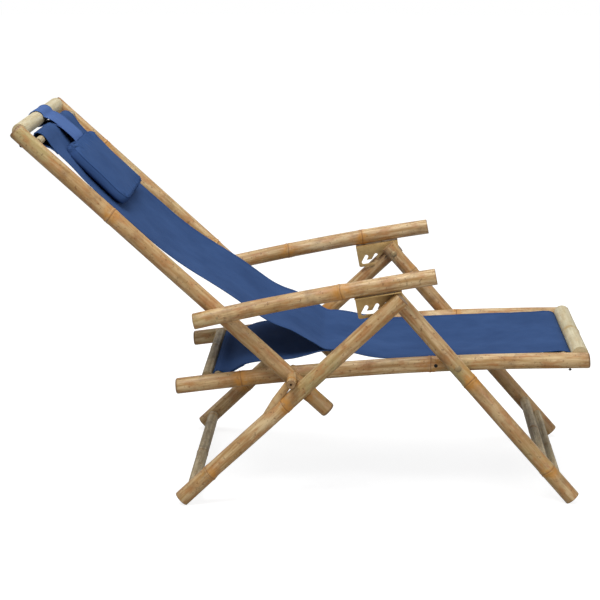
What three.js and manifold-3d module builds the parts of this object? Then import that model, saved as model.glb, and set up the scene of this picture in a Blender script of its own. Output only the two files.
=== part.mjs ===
// Folding recliner of bamboo poles with a hanging cloth seat and back.
// Millimetres, +Z up, +X towards the sitter's feet, +Y towards the sitter's left.
// Each side is a stack of poles: seat rail, then back rail and front leg,
// then bracket plate, then armrest and rear leg.

import * as THREE from 'three';
import { mergeVertices } from 'three/addons/utils/BufferGeometryUtils.js';
import Module from 'manifold-3d';

const wasm = await Module();
wasm.setup();

// Shared sizes
const GAP = 0.3;
const ORIGIN_X = 577;
const RIGHT = -1;
const LEFT = 1;
const POLE_RADIUS = 16.5;
const POLE_SIDES = 16;
const ROD_SIDES = 14;
const BOLT_SIDES = 12;
const EDGE_ROUND = 1.4;
const NODE_RISE = 0.9;
const NODE_HALF_LENGTH = 3;
const BORE_RADIUS = 7.5;
const BORE_DEPTH = 24;
const CUT_OVERRUN = 2;

// Distance of each layer from the middle plane
const SEAT_LAYER = 212;
const BACK_LAYER = 246;
const BRACKET_LAYER = 264;
const ARM_LAYER = 282;

// Back rail
const BACK_TOP_X = -5;
const BACK_TOP_Z = 775.7;
const BACK_PAST_AXLE = 105.3;
const AXLE_OUT = 1.9;
const BACK_NODE_SHARES = [0.297, 0.566];

// Rails and rods along the back, given along the rail and out from its line
const TOP_RAIL_ALONG = 8.5;
const TOP_RAIL_OUT = 1;
const TOP_RAIL_RADIUS = 15.5;
const TOP_ROD_ALONG = 50;
const TOP_ROD_OUT = 8.5;
const TOP_ROD_RADIUS = 8.5;
const TOP_SCREW_ALONG = 31;

// Seat rail
const SEAT_REAR_X = 310.5;
const SEAT_REAR_Z = 235;
const SEAT_FRONT_X = 1169;
const SEAT_FRONT_Z = 298;
const SEAT_BOW = 14;
const SEAT_STEPS = 8;
const SEAT_NODE_SHARES = [0.157, 0.616];
const REAR_RAIL_INSET = 63.5;
const REAR_RAIL_RISE = 8.5;
const REAR_RAIL_RADIUS = 11.5;
const REAR_ROD_INSET = 86.5;
const REAR_ROD_RISE = 8;
const FRONT_RAIL_INSET = 16;
const FRONT_RAIL_RISE = 6.6;
const FRONT_RAIL_RADIUS = 15.5;
const FRONT_ROD_INSET = 52;
const FRONT_ROD_RISE = 4.6;
const SEAT_ROD_RADIUS = 8;
const FRONT_SCREW_INSET = 40;
const PLUG_X = 851;
const PLUG_RADIUS = 4;
const PLUG_DEPTH = 6;
const PLUG_RISE = 0.6;

// Axle that carries the back and lies in the cradle of the rear legs
const AXLE_X = 554.6;
const AXLE_Z = 266.5;
const AXLE_RADIUS = 9.7;
const PEG_START = SEAT_LAYER - POLE_RADIUS;
const PEG_END = 325;

// Legs and the bolt where they meet
const APEX_X = 769;
const APEX_Z = 432;
const REAR_FOOT_X = 325;
const REAR_LEG_PAST_APEX = 14;
const REAR_LEG_SLOPE_X = 0.7269;
const REAR_LEG_SLOPE_Z = 0.6869;
const REAR_LEG_NODE_SHARES = [0.2, 0.55, 0.86];
const FRONT_FOOT_X = 1139;
const FRONT_LEG_PAST_APEX = 21;
const FRONT_LEG_SLOPE_X = -0.6592;
const FRONT_LEG_SLOPE_Z = 0.7519;
const FRONT_LEG_NODE_SHARES = [0.28, 0.57];
const FRONT_PIVOT_X = 895.5;
const FRONT_PIVOT_Z = 290.2;
const REAR_STRETCHER_UP_LEG = 32.5;
const REAR_STRETCHER_RADIUS = 11;
const THICK_STRETCHER_UP_LEG = 101.5;
const THICK_STRETCHER_RADIUS = 12;
const THIN_STRETCHER_UP_LEG = 57.8;
const THIN_STRETCHER_OUT = 5.5;
const THIN_STRETCHER_RADIUS = 8.5;
const MIDDLE_NODE_SHARES = [0.47];

// Cradle strut on the upper side of the rear leg
const STRUT_X = 538;
const STRUT_Z = 245.6;
const STRUT_SLOPE_X = 0.549;
const STRUT_SLOPE_Z = 0.836;
const STRUT_UP = 16.4;
const STRUT_DOWN = 96;
const STRUT_TOP_RADIUS = 7.8;
const STRUT_MIDDLE_RADIUS = 10;
const STRUT_FOOT_RADIUS = 6.5;
const STRUT_MIDDLE_SHARE = 0.62;
const STRUT_SCREW_DOWN = 34;

// Armrest and its notched bracket
const ARM_REAR_X = 355;
const ARM_REAR_Z = 390;
const ARM_FRONT_X = 847;
const ARM_FRONT_Z = 487;
const ARM_BOW = 5;
const ARM_STEPS = 6;
const CROSSING_STEPS = 30;
const ARM_NODE_SHARES = [0.346, 0.606];
const BRACKET_BEHIND_APEX = 87;
const BRACKET_ABOVE_APEX = 9.2;
const BRACKET_LENGTH = 97;
const BRACKET_TILT = 0.1703;
const BRACKET_THICKNESS = 2;
const BRACKET_FLANGE_WIDTH = 30;
const BRACKET_SCREW_SHARES = [0.2, 0.62];
const SLOT_WIDTH = 9.2;
const NARROW_SLOT_WIDTH = 8;
const CHANNEL_WIDTH = 8.5;
const SLOT_SIDES = 8;

// Bolts and screws
const BOLT_RADIUS = 3;
const BOLT_HEAD_RADIUS = 7;
const BOLT_HEAD_HEIGHT = 2.6;
const OUTER_HEAD_HEIGHT = 2.2;
const SCREW_RADIUS = 1.8;
const SCREW_HEAD_RADIUS = 4;
const SCREW_HEAD_HEIGHT = 1.8;
const SCREW_LENGTH = 13;
const TENON_LENGTH = 11;
const TENON_RADIUS = 6;
const ROD_TENON_RADIUS = 4.5;
const SHOULDER_GAP = 1.4;

// Cloth
const CLOTH_THICKNESS = 2.4;
const CLOTH_EDGE_GAP = 8.5;
const CLOTH_HALF_WIDTH = SEAT_LAYER - POLE_RADIUS - CLOTH_EDGE_GAP;
const CLOTH_COLUMNS = 8;
const CREASE_SAG = 8;
const SEAT_SAG = 15;
const CLOTH_BACK_LENGTH = 694;
const CLOTH_SEAT_HEIGHT = 68;
const CLOTH_SEAT_X = 533;
const CLOTH_SEAT_Z = 291;
const REAR_PANEL_LENGTH = 217;
const REAR_PANEL_HEIGHT = 46;
const LAP_LENGTH = 17;

// Pillow and the strap that holds it on the top rail
const PILLOW_HALF_WIDTH = 140;
const PILLOW_ALONG = 180;
const PILLOW_HALF_LENGTH = 82;
const PILLOW_SEAM_OUT = 22;
const PILLOW_CROWN = 12;
const PILLOW_UNDERSIDE = 14;
const PILLOW_DRAW_IN = 7;
const PILLOW_COLUMNS = 18;
const PILLOW_ROWS = 12;
const STRAP_HALF_WIDTH = 56;
const STRAP_CENTRE_Y = 24;
const STRAP_THICKNESS = 2;
const STRAP_SLACK = 0.5;

// Materials
function paint(name, color, roughness, metalness) {
  const material = new THREE.MeshStandardMaterial({ color, roughness, metalness });
  material.name = name;
  return material;
}

const BAMBOO = paint('bamboo', 0xb78f5e, 0.42, 0);
const PALE_BAMBOO = paint('pale_bamboo', 0xd9cfae, 0.5, 0);
const GREY_BAMBOO = paint('grey_bamboo', 0xa18f6c, 0.55, 0);
const CLOTH = paint('cloth', 0x24376f, 0.9, 0);
const STRAP_CLOTH = paint('strap_cloth', 0x3a4c82, 0.9, 0);
const ZINC = paint('zinc', 0xa8884f, 0.4, 0.9);
const STEEL = paint('steel', 0x9a9a98, 0.35, 0.9);
const BLACK_SCREW = paint('black_screw', 0x201f1e, 0.5, 0.7);

// Points and lines in the side plane
function sidePoint(x, z) {
  return new THREE.Vector2(x - ORIGIN_X, z);
}

function sideLine(from, to, y, bow = 0) {
  const span = to.clone().sub(from);
  const length = span.length();
  const tangent = span.divideScalar(length);
  const normal = new THREE.Vector2(-tangent.y, tangent.x);
  function at(share) {
    const rise = 4 * bow * share * (1 - share);
    const slope = 4 * bow * (1 - 2 * share) / length;
    const centre = from.clone().addScaledVector(tangent, share * length);
    centre.addScaledVector(normal, rise);
    const ahead = tangent.clone().addScaledVector(normal, slope).normalize();
    return { centre, ahead, out: new THREE.Vector2(-ahead.y, ahead.x) };
  }
  function offset(along, out) {
    const centre = from.clone().addScaledVector(tangent, along);
    return centre.addScaledVector(normal, out);
  }
  function heightAt(x) {
    return at((x - ORIGIN_X - from.x) / (to.x - from.x)).centre.y;
  }
  return { length, tangent, normal, y, at, offset, heightAt };
}

// Height of the middle of a pole's end when its low edge stands on the floor
function footHeight(slopeX, slopeZ) {
  const face = (POLE_RADIUS - EDGE_ROUND) * Math.abs(slopeX);
  const wall = POLE_RADIUS * Math.abs(slopeX) - EDGE_ROUND * slopeZ;
  return Math.max(face, wall);
}

function leg(footX, slopeX, slopeZ, pastApex, y) {
  const foot = sidePoint(footX, footHeight(slopeX, slopeZ));
  const slope = new THREE.Vector2(slopeX, slopeZ).normalize();
  const apex = sidePoint(APEX_X, APEX_Z);
  const reach = apex.clone().sub(foot).dot(slope) + pastApex;
  return sideLine(foot, foot.clone().addScaledVector(slope, reach), y);
}

// The back runs from its top past the axle, which lies a little out from its middle
function backLine(y) {
  const top = sidePoint(BACK_TOP_X, BACK_TOP_Z);
  const upper = sideLine(top, sidePoint(AXLE_X, AXLE_Z), y);
  const reach = upper.length + BACK_PAST_AXLE;
  return sideLine(top, upper.offset(reach, -AXLE_OUT * reach / upper.length), y);
}

function seatLine(y) {
  const rear = sidePoint(SEAT_REAR_X, SEAT_REAR_Z);
  const front = sidePoint(SEAT_FRONT_X, SEAT_FRONT_Z);
  return sideLine(rear, front, y, SEAT_BOW);
}

function armLine(y) {
  const rear = sidePoint(ARM_REAR_X, ARM_REAR_Z);
  const front = sidePoint(ARM_FRONT_X, ARM_FRONT_Z);
  return sideLine(rear, front, y, ARM_BOW);
}

function rearLegLine(y) {
  return leg(REAR_FOOT_X, REAR_LEG_SLOPE_X, REAR_LEG_SLOPE_Z, REAR_LEG_PAST_APEX, y);
}

function frontLegLine(y) {
  return leg(FRONT_FOOT_X, FRONT_LEG_SLOPE_X, FRONT_LEG_SLOPE_Z, FRONT_LEG_PAST_APEX, y);
}

// The back's own line, where out from the line is towards the sitter
function backPoint(along, out) {
  return backLine(0).offset(along, out);
}

// A place given from an end of the seat rail, and up from the rail's middle
function seatPoint(endX, inset, rise) {
  const x = endX + inset;
  return sidePoint(x, seatLine(0).heightAt(x) + rise);
}

// Place where the armrest crosses the back rail, found by halving
function armCrossing() {
  const arm = armLine(0);
  const back = backLine(0);
  let before = 0;
  let after = 1;
  for (let step = 0; step < CROSSING_STEPS; step += 1) {
    const middle = (before + after) / 2;
    const out = arm.at(middle).centre.sub(backPoint(0, 0)).dot(back.normal);
    if (out < 0) {
      before = middle;
    } else {
      after = middle;
    }
  }
  return arm.at(before).centre;
}

// Solids
function toManifold(geometry) {
  const bare = geometry.clone();
  bare.deleteAttribute('normal');
  bare.deleteAttribute('uv');
  const merged = mergeVertices(bare);
  const vertProperties = new Float32Array(merged.attributes.position.array);
  const triVerts = new Uint32Array(merged.index.array);
  const mesh = new wasm.Mesh({ numProp: 3, vertProperties, triVerts });
  mesh.merge();
  return new wasm.Manifold(mesh);
}

function fromManifold(solid) {
  const mesh = solid.getMesh();
  const geometry = new THREE.BufferGeometry();
  const positions = new THREE.BufferAttribute(new Float32Array(mesh.vertProperties), 3);
  geometry.setAttribute('position', positions);
  geometry.setIndex(new THREE.BufferAttribute(new Uint32Array(mesh.triVerts), 1));
  geometry.computeVertexNormals();
  return geometry;
}

function carve(geometry, cutters) {
  let solid = toManifold(geometry);
  for (const cutter of cutters) {
    solid = solid.subtract(toManifold(cutter));
  }
  return fromManifold(solid);
}

function unite(geometries) {
  let solid = toManifold(geometries[0]);
  for (const geometry of geometries.slice(1)) {
    solid = solid.add(toManifold(geometry));
  }
  return fromManifold(solid);
}

// Turned shapes: pairs of radius and distance, run from one end to the other
function turn(profile, sides) {
  const points = profile.map(([radius, along]) => new THREE.Vector2(radius, along));
  return new THREE.LatheGeometry(points, sides);
}

function nodeRings(length, radius, nodeShares, steps) {
  const rings = [];
  for (const share of nodeShares) {
    const middle = share * length;
    rings.push([radius, middle - NODE_HALF_LENGTH]);
    rings.push([radius + NODE_RISE, middle]);
    rings.push([radius, middle + NODE_HALF_LENGTH]);
  }
  for (let step = 1; step < steps; step += 1) {
    const middle = step / steps * length;
    const clear = nodeShares.every((share) => Math.abs(share * length - middle) > radius);
    if (clear) {
      rings.push([radius, middle]);
    }
  }
  return rings.sort((one, other) => one[1] - other[1]);
}

function poleProfile(length, radius, nodeShares, steps, openRear, openFront) {
  const bore = BORE_RADIUS;
  const rear = openRear ? [[0, BORE_DEPTH], [bore, BORE_DEPTH], [bore, 0]] : [[0, 0]];
  const deep = length - BORE_DEPTH;
  const front = openFront ? [[bore, length], [bore, deep], [0, deep]] : [[0, length]];
  return [
    ...rear,
    [radius - EDGE_ROUND, 0],
    [radius, EDGE_ROUND],
    ...nodeRings(length, radius, nodeShares, steps),
    [radius, length - EDGE_ROUND],
    [radius - EDGE_ROUND, length],
    ...front,
  ];
}

function bendAlong(geometry, line) {
  const positions = geometry.attributes.position;
  for (let index = 0; index < positions.count; index += 1) {
    const { centre, out } = line.at(positions.getY(index) / line.length);
    const side = positions.getX(index);
    const depth = positions.getZ(index);
    positions.setXYZ(index, centre.x + side * out.x, line.y + depth, centre.y + side * out.y);
  }
  return geometry;
}

function pole(line, { nodeShares = [], steps = 1, openRear = true, openFront = true }) {
  const profile = poleProfile(line.length, POLE_RADIUS, nodeShares, steps, openRear, openFront);
  return bendAlong(turn(profile, POLE_SIDES), line);
}

// A round bar across the chair, shouldered where it meets the poles
function crossBar(point, radius, shoulder, tenonRadius, nodeShares = []) {
  const length = 2 * shoulder;
  const far = length + TENON_LENGTH;
  const profile = [
    [0, -TENON_LENGTH],
    [tenonRadius, -TENON_LENGTH],
    [tenonRadius, 0],
    [radius - EDGE_ROUND, 0],
    [radius, EDGE_ROUND],
    ...nodeRings(length, radius, nodeShares, 1),
    [radius, length - EDGE_ROUND],
    [radius - EDGE_ROUND, length],
    [tenonRadius, length],
    [tenonRadius, far],
    [0, far],
  ];
  const geometry = turn(profile, ROD_SIDES);
  geometry.translate(point.x, -shoulder, point.y);
  return geometry;
}

function cylinder(radius, from, to, sides) {
  const low = Math.min(from, to);
  const high = Math.max(from, to);
  return turn([[0, low], [radius, low], [radius, high], [0, high]], sides);
}

function acrossCylinder(point, radius, from, to, sides = BOLT_SIDES) {
  const geometry = cylinder(radius, from, to, sides);
  geometry.translate(point.x, 0, point.y);
  return geometry;
}

function tenonHole(point, side, layer, radius) {
  const inner = layer - POLE_RADIUS - CUT_OVERRUN;
  const depth = layer - POLE_RADIUS + TENON_LENGTH;
  return acrossCylinder(point, radius + GAP, side * inner, side * depth, ROD_SIDES);
}

function throughHole(point, side, layer, radius, sides = BOLT_SIDES) {
  const inner = layer - POLE_RADIUS - CUT_OVERRUN;
  const outer = layer + POLE_RADIUS + CUT_OVERRUN;
  return acrossCylinder(point, radius + GAP, side * inner, side * outer, sides);
}

// A turned piece lying in a side plane, run from a point along a heading
function sideTurned(profile, point, heading, y, sides = BOLT_SIDES) {
  const line = sideLine(point, point.clone().add(heading), y);
  const geometry = turn(profile, sides);
  const positions = geometry.attributes.position;
  for (let index = 0; index < positions.count; index += 1) {
    const centre = line.offset(positions.getY(index), positions.getX(index));
    positions.setXYZ(index, centre.x, y + positions.getZ(index), centre.y);
  }
  return geometry;
}

function screw(point, heading, y) {
  const profile = [
    [0, -SCREW_HEAD_HEIGHT],
    [SCREW_HEAD_RADIUS / 2, -SCREW_HEAD_HEIGHT],
    [SCREW_HEAD_RADIUS, 0],
    [SCREW_RADIUS, 0],
    [SCREW_RADIUS, SCREW_LENGTH],
    [0, SCREW_LENGTH],
  ];
  return sideTurned(profile, point, heading, y);
}

function screwHole(point, heading, y) {
  const radius = SCREW_RADIUS + GAP;
  const far = SCREW_LENGTH + GAP;
  const profile = [[0, -CUT_OVERRUN], [radius, -CUT_OVERRUN], [radius, far], [0, far]];
  return sideTurned(profile, point, heading, y);
}

// Where screws enter the poles from below
function railScrewPlace(line, x) {
  const share = (x - ORIGIN_X - line.at(0).centre.x) / (line.at(1).centre.x - line.at(0).centre.x);
  const { centre, out } = line.at(share);
  return { point: centre.addScaledVector(out, -POLE_RADIUS - GAP), heading: out };
}

function backScrewPlace(line) {
  const point = line.offset(TOP_SCREW_ALONG, -POLE_RADIUS - GAP);
  return { point, heading: line.normal };
}

// Places shared by several pieces
const AXLE_POINT = sidePoint(AXLE_X, AXLE_Z);
const APEX_POINT = sidePoint(APEX_X, APEX_Z);
const FRONT_PIVOT_POINT = sidePoint(FRONT_PIVOT_X, FRONT_PIVOT_Z);
const ARM_PIVOT_POINT = armCrossing();
const TOP_RAIL_POINT = backPoint(TOP_RAIL_ALONG, TOP_RAIL_OUT);
const TOP_ROD_POINT = backPoint(TOP_ROD_ALONG, TOP_ROD_OUT);
const REAR_RAIL_POINT = seatPoint(SEAT_REAR_X, REAR_RAIL_INSET, REAR_RAIL_RISE);
const REAR_ROD_POINT = seatPoint(SEAT_REAR_X, REAR_ROD_INSET, REAR_ROD_RISE);
const FRONT_RAIL_POINT = seatPoint(SEAT_FRONT_X, -FRONT_RAIL_INSET, FRONT_RAIL_RISE);
const FRONT_ROD_POINT = seatPoint(SEAT_FRONT_X, -FRONT_ROD_INSET, FRONT_ROD_RISE);
const FRONT_SCREW_X = SEAT_FRONT_X - FRONT_SCREW_INSET;
const REAR_STRETCHER_POINT = rearLegLine(0).offset(REAR_STRETCHER_UP_LEG, 0);
const THICK_STRETCHER_POINT = frontLegLine(0).offset(THICK_STRETCHER_UP_LEG, 0);
const THIN_STRETCHER_POINT = frontLegLine(0).offset(THIN_STRETCHER_UP_LEG, -THIN_STRETCHER_OUT);

// Poles of the two sides
function backRail(side) {
  const line = backLine(side * BACK_LAYER);
  const { point, heading } = backScrewPlace(line);
  return carve(pole(line, { nodeShares: BACK_NODE_SHARES, openRear: false }), [
    throughHole(AXLE_POINT, side, BACK_LAYER, AXLE_RADIUS, ROD_SIDES),
    throughHole(ARM_PIVOT_POINT, side, BACK_LAYER, BOLT_RADIUS),
    tenonHole(TOP_RAIL_POINT, side, BACK_LAYER, TENON_RADIUS),
    tenonHole(TOP_ROD_POINT, side, BACK_LAYER, ROD_TENON_RADIUS),
    screwHole(point, heading, line.y),
  ]);
}

function seatRail(side) {
  const line = seatLine(side * SEAT_LAYER);
  const options = { nodeShares: SEAT_NODE_SHARES, steps: SEAT_STEPS, openRear: true, openFront: false };
  const { point, heading } = railScrewPlace(line, FRONT_SCREW_X);
  const plugPoint = sidePoint(PLUG_X, line.heightAt(PLUG_X));
  const plugFloor = SEAT_LAYER + POLE_RADIUS - PLUG_DEPTH;
  const plugMouth = SEAT_LAYER + POLE_RADIUS + CUT_OVERRUN;
  return carve(pole(line, options), [
    throughHole(AXLE_POINT, side, SEAT_LAYER, AXLE_RADIUS, ROD_SIDES),
    throughHole(FRONT_PIVOT_POINT, side, SEAT_LAYER, BOLT_RADIUS),
    tenonHole(REAR_RAIL_POINT, side, SEAT_LAYER, ROD_TENON_RADIUS),
    tenonHole(REAR_ROD_POINT, side, SEAT_LAYER, ROD_TENON_RADIUS),
    tenonHole(FRONT_RAIL_POINT, side, SEAT_LAYER, TENON_RADIUS),
    tenonHole(FRONT_ROD_POINT, side, SEAT_LAYER, ROD_TENON_RADIUS),
    acrossCylinder(plugPoint, PLUG_RADIUS + GAP, side * plugFloor, side * plugMouth),
    screwHole(point, heading, line.y),
  ]);
}

function seatRailPlug(side) {
  const point = sidePoint(PLUG_X, seatLine(0).heightAt(PLUG_X));
  const floor = SEAT_LAYER + POLE_RADIUS - PLUG_DEPTH + GAP;
  const face = SEAT_LAYER + POLE_RADIUS + PLUG_RISE;
  return acrossCylinder(point, PLUG_RADIUS, side * floor, side * face);
}

function frontLeg(side) {
  const line = frontLegLine(side * BACK_LAYER);
  return carve(pole(line, { nodeShares: FRONT_LEG_NODE_SHARES, openFront: false }), [
    throughHole(APEX_POINT, side, BACK_LAYER, BOLT_RADIUS),
    throughHole(FRONT_PIVOT_POINT, side, BACK_LAYER, BOLT_RADIUS),
    tenonHole(THICK_STRETCHER_POINT, side, BACK_LAYER, TENON_RADIUS),
    tenonHole(THIN_STRETCHER_POINT, side, BACK_LAYER, ROD_TENON_RADIUS),
  ]);
}

function strutScrewPlace(legLine) {
  const start = sidePoint(STRUT_X, STRUT_Z);
  const slope = new THREE.Vector2(STRUT_SLOPE_X, STRUT_SLOPE_Z).normalize();
  const onStrut = start.addScaledVector(slope, -STRUT_SCREW_DOWN);
  const heading = legLine.normal.clone().multiplyScalar(-1);
  const rise = STRUT_MIDDLE_RADIUS + PLUG_RISE + GAP;
  return { point: onStrut.addScaledVector(heading, -rise), heading };
}

function rearLeg(side) {
  const line = rearLegLine(side * ARM_LAYER);
  const { point, heading } = strutScrewPlace(line);
  const boltMouth = ARM_LAYER - POLE_RADIUS - CUT_OVERRUN;
  const boltEnd = ARM_LAYER + POLE_RADIUS / 2 + GAP;
  return carve(pole(line, { nodeShares: REAR_LEG_NODE_SHARES, openFront: false }), [
    acrossCylinder(APEX_POINT, BOLT_RADIUS + GAP, side * boltMouth, side * boltEnd),
    tenonHole(REAR_STRETCHER_POINT, side, ARM_LAYER, TENON_RADIUS),
    screwHole(point, heading, line.y),
  ]);
}

// The strut is scarfed onto the leg, and its top end makes the cradle
function cradleStrut(side) {
  const y = side * ARM_LAYER;
  const start = sidePoint(STRUT_X, STRUT_Z);
  const slope = new THREE.Vector2(STRUT_SLOPE_X, STRUT_SLOPE_Z).normalize();
  const foot = start.clone().addScaledVector(slope, -STRUT_DOWN);
  const length = STRUT_DOWN + STRUT_UP;
  const profile = [
    [0, 0],
    [STRUT_FOOT_RADIUS, 0],
    [STRUT_MIDDLE_RADIUS, STRUT_MIDDLE_SHARE * length],
    [STRUT_TOP_RADIUS, length],
    [0, length],
  ];
  const body = sideTurned(profile, foot, slope, y, ROD_SIDES);
  const line = rearLegLine(y);
  const legRadius = POLE_RADIUS + NODE_RISE / 2 + GAP;
  const legProfile = [[0, 0], [legRadius, 0], [legRadius, line.length], [0, line.length]];
  const legCutter = bendAlong(turn(legProfile, 2 * POLE_SIDES), line);
  const { point, heading } = strutScrewPlace(line);
  return carve(body, [legCutter, screwHole(point, heading, y)]);
}

function strutScrew(side) {
  const line = rearLegLine(side * ARM_LAYER);
  const { point, heading } = strutScrewPlace(line);
  return screw(point, heading, line.y);
}

// Bracket: a plate with four hooked slots off one channel, and a flange under the armrest
const BRACKET_HEADING = new THREE.Vector2(1, BRACKET_TILT).normalize();
const BRACKET_OUTLINE_SHARES = [
  [0, 0], [1, 0], [1, 0.31], [0.965, 0.345],
  [0.862, 0.318], [0.66, 0.345], [0.36, 0.345], [0.36, 0.5],
  [0.035, 0.5], [0.008, 0.475], [0.005, 0.2],
];
const SLOT_PATH_SHARES = [
  [[0.213, 0.268], [0.124, 0.392]],
  [[0.443, 0.264], [0.345, 0.392]],
  [[0.643, 0.268], [0.49, 0.4]],
];
const PIN_SLOT_SHARES = [[0.868, 0.243], [0.66, 0.394]];
const CHANNEL_SHARES = [[0.124, 0.392], [0.52, 0.392]];

function bracketPoint([alongShare, downShare]) {
  const along = alongShare * BRACKET_LENGTH;
  const down = downShare * BRACKET_LENGTH;
  const corner = sidePoint(APEX_X - BRACKET_BEHIND_APEX, APEX_Z + BRACKET_ABOVE_APEX);
  const point = corner.addScaledVector(BRACKET_HEADING, along);
  return point.addScaledVector(new THREE.Vector2(BRACKET_HEADING.y, -BRACKET_HEADING.x), down);
}

function plate(points, y, thickness) {
  const shape = new THREE.Shape(points);
  const geometry = new THREE.ExtrudeGeometry(shape, { depth: thickness, bevelEnabled: false });
  geometry.rotateX(Math.PI / 2);
  geometry.translate(0, y + thickness / 2, 0);
  return geometry;
}

function slotCutter(from, to, width, y) {
  const heading = to.clone().sub(from).normalize();
  const angle = Math.atan2(heading.y, heading.x);
  const points = [];
  for (let step = 0; step <= SLOT_SIDES; step += 1) {
    const turned = angle + Math.PI / 2 + step / SLOT_SIDES * Math.PI;
    points.push(new THREE.Vector2(Math.cos(turned), Math.sin(turned)).multiplyScalar(width / 2).add(from));
  }
  for (let step = 0; step <= SLOT_SIDES; step += 1) {
    const turned = angle - Math.PI / 2 + step / SLOT_SIDES * Math.PI;
    points.push(new THREE.Vector2(Math.cos(turned), Math.sin(turned)).multiplyScalar(width / 2).add(to));
  }
  return plate(points, y, BRACKET_THICKNESS + 2 * CUT_OVERRUN);
}

function bracketScrewPlace(share, y) {
  const flangeMiddle = Math.sign(y) * ARM_LAYER;
  const rise = new THREE.Vector2(-BRACKET_HEADING.y, BRACKET_HEADING.x);
  const point = bracketPoint([share, 0]).addScaledVector(rise, -BRACKET_THICKNESS - GAP);
  return { point, heading: rise, y: flangeMiddle };
}

function notchBracket(side) {
  const y = side * BRACKET_LAYER;
  const outline = plate(BRACKET_OUTLINE_SHARES.map(bracketPoint).reverse(), y, BRACKET_THICKNESS);
  const inner = BRACKET_LAYER - BRACKET_THICKNESS / 2;
  const outer = inner + BRACKET_FLANGE_WIDTH;
  const thicknessShare = BRACKET_THICKNESS / BRACKET_LENGTH;
  const flangeShares = [[0, 0], [1, 0], [1, thicknessShare], [0, thicknessShare]];
  const flange = plate(flangeShares.map(bracketPoint).reverse(), side * (inner + outer) / 2, outer - inner);
  const cutters = SLOT_PATH_SHARES.map(([top, foot]) => {
    return slotCutter(bracketPoint(top), bracketPoint(foot), NARROW_SLOT_WIDTH, y);
  });
  const [channelRear, channelFront] = CHANNEL_SHARES.map(bracketPoint);
  const [pinTop, pinFoot] = PIN_SLOT_SHARES.map(bracketPoint);
  cutters.push(slotCutter(channelRear, channelFront, CHANNEL_WIDTH, y));
  cutters.push(slotCutter(pinTop, pinFoot, SLOT_WIDTH, y));
  for (const share of BRACKET_SCREW_SHARES) {
    const place = bracketScrewPlace(share, y);
    cutters.push(screwHole(place.point, place.heading, place.y));
  }
  return carve(unite([outline, flange]), cutters);
}

function bracketScrew(side, share) {
  const place = bracketScrewPlace(share, side * BRACKET_LAYER);
  return screw(place.point, place.heading, place.y);
}

function armrest(side) {
  const line = armLine(side * ARM_LAYER);
  const cutters = [throughHole(ARM_PIVOT_POINT, side, ARM_LAYER, BOLT_RADIUS)];
  for (const share of BRACKET_SCREW_SHARES) {
    const place = bracketScrewPlace(share, side * BRACKET_LAYER);
    cutters.push(screwHole(place.point, place.heading, place.y));
  }
  return carve(pole(line, { nodeShares: ARM_NODE_SHARES, steps: ARM_STEPS }), cutters);
}

// Bolts that the poles turn on, with a low head at one end or at both
function bolt(point, side, inner, outer, outerHead) {
  const innerHead = inner - BOLT_HEAD_HEIGHT;
  const tip = outerHead ? [
    [BOLT_RADIUS, outer],
    [BOLT_HEAD_RADIUS, outer],
    [BOLT_HEAD_RADIUS / 2, outer + OUTER_HEAD_HEIGHT],
    [0, outer + OUTER_HEAD_HEIGHT],
  ] : [[BOLT_RADIUS, outer], [0, outer]];
  const profile = [
    [0, innerHead],
    [BOLT_HEAD_RADIUS / 2, innerHead],
    [BOLT_HEAD_RADIUS, inner],
    [BOLT_RADIUS, inner],
    ...tip,
  ];
  const along = side > 0 ? profile : profile.map(([radius, y]) => [radius, -y]).reverse();
  const geometry = turn(along, BOLT_SIDES);
  geometry.translate(point.x, 0, point.y);
  return geometry;
}

function apexBolt(side) {
  const inner = BACK_LAYER - POLE_RADIUS - GAP;
  return bolt(APEX_POINT, side, inner, ARM_LAYER + POLE_RADIUS / 2, false);
}

function armPivotBolt(side) {
  const inner = BACK_LAYER - POLE_RADIUS - GAP;
  return bolt(ARM_PIVOT_POINT, side, inner, ARM_LAYER + POLE_RADIUS, false);
}

function frontPivotBolt(side) {
  const inner = SEAT_LAYER - POLE_RADIUS - GAP;
  return bolt(FRONT_PIVOT_POINT, side, inner, BACK_LAYER + POLE_RADIUS + GAP, true);
}

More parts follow.
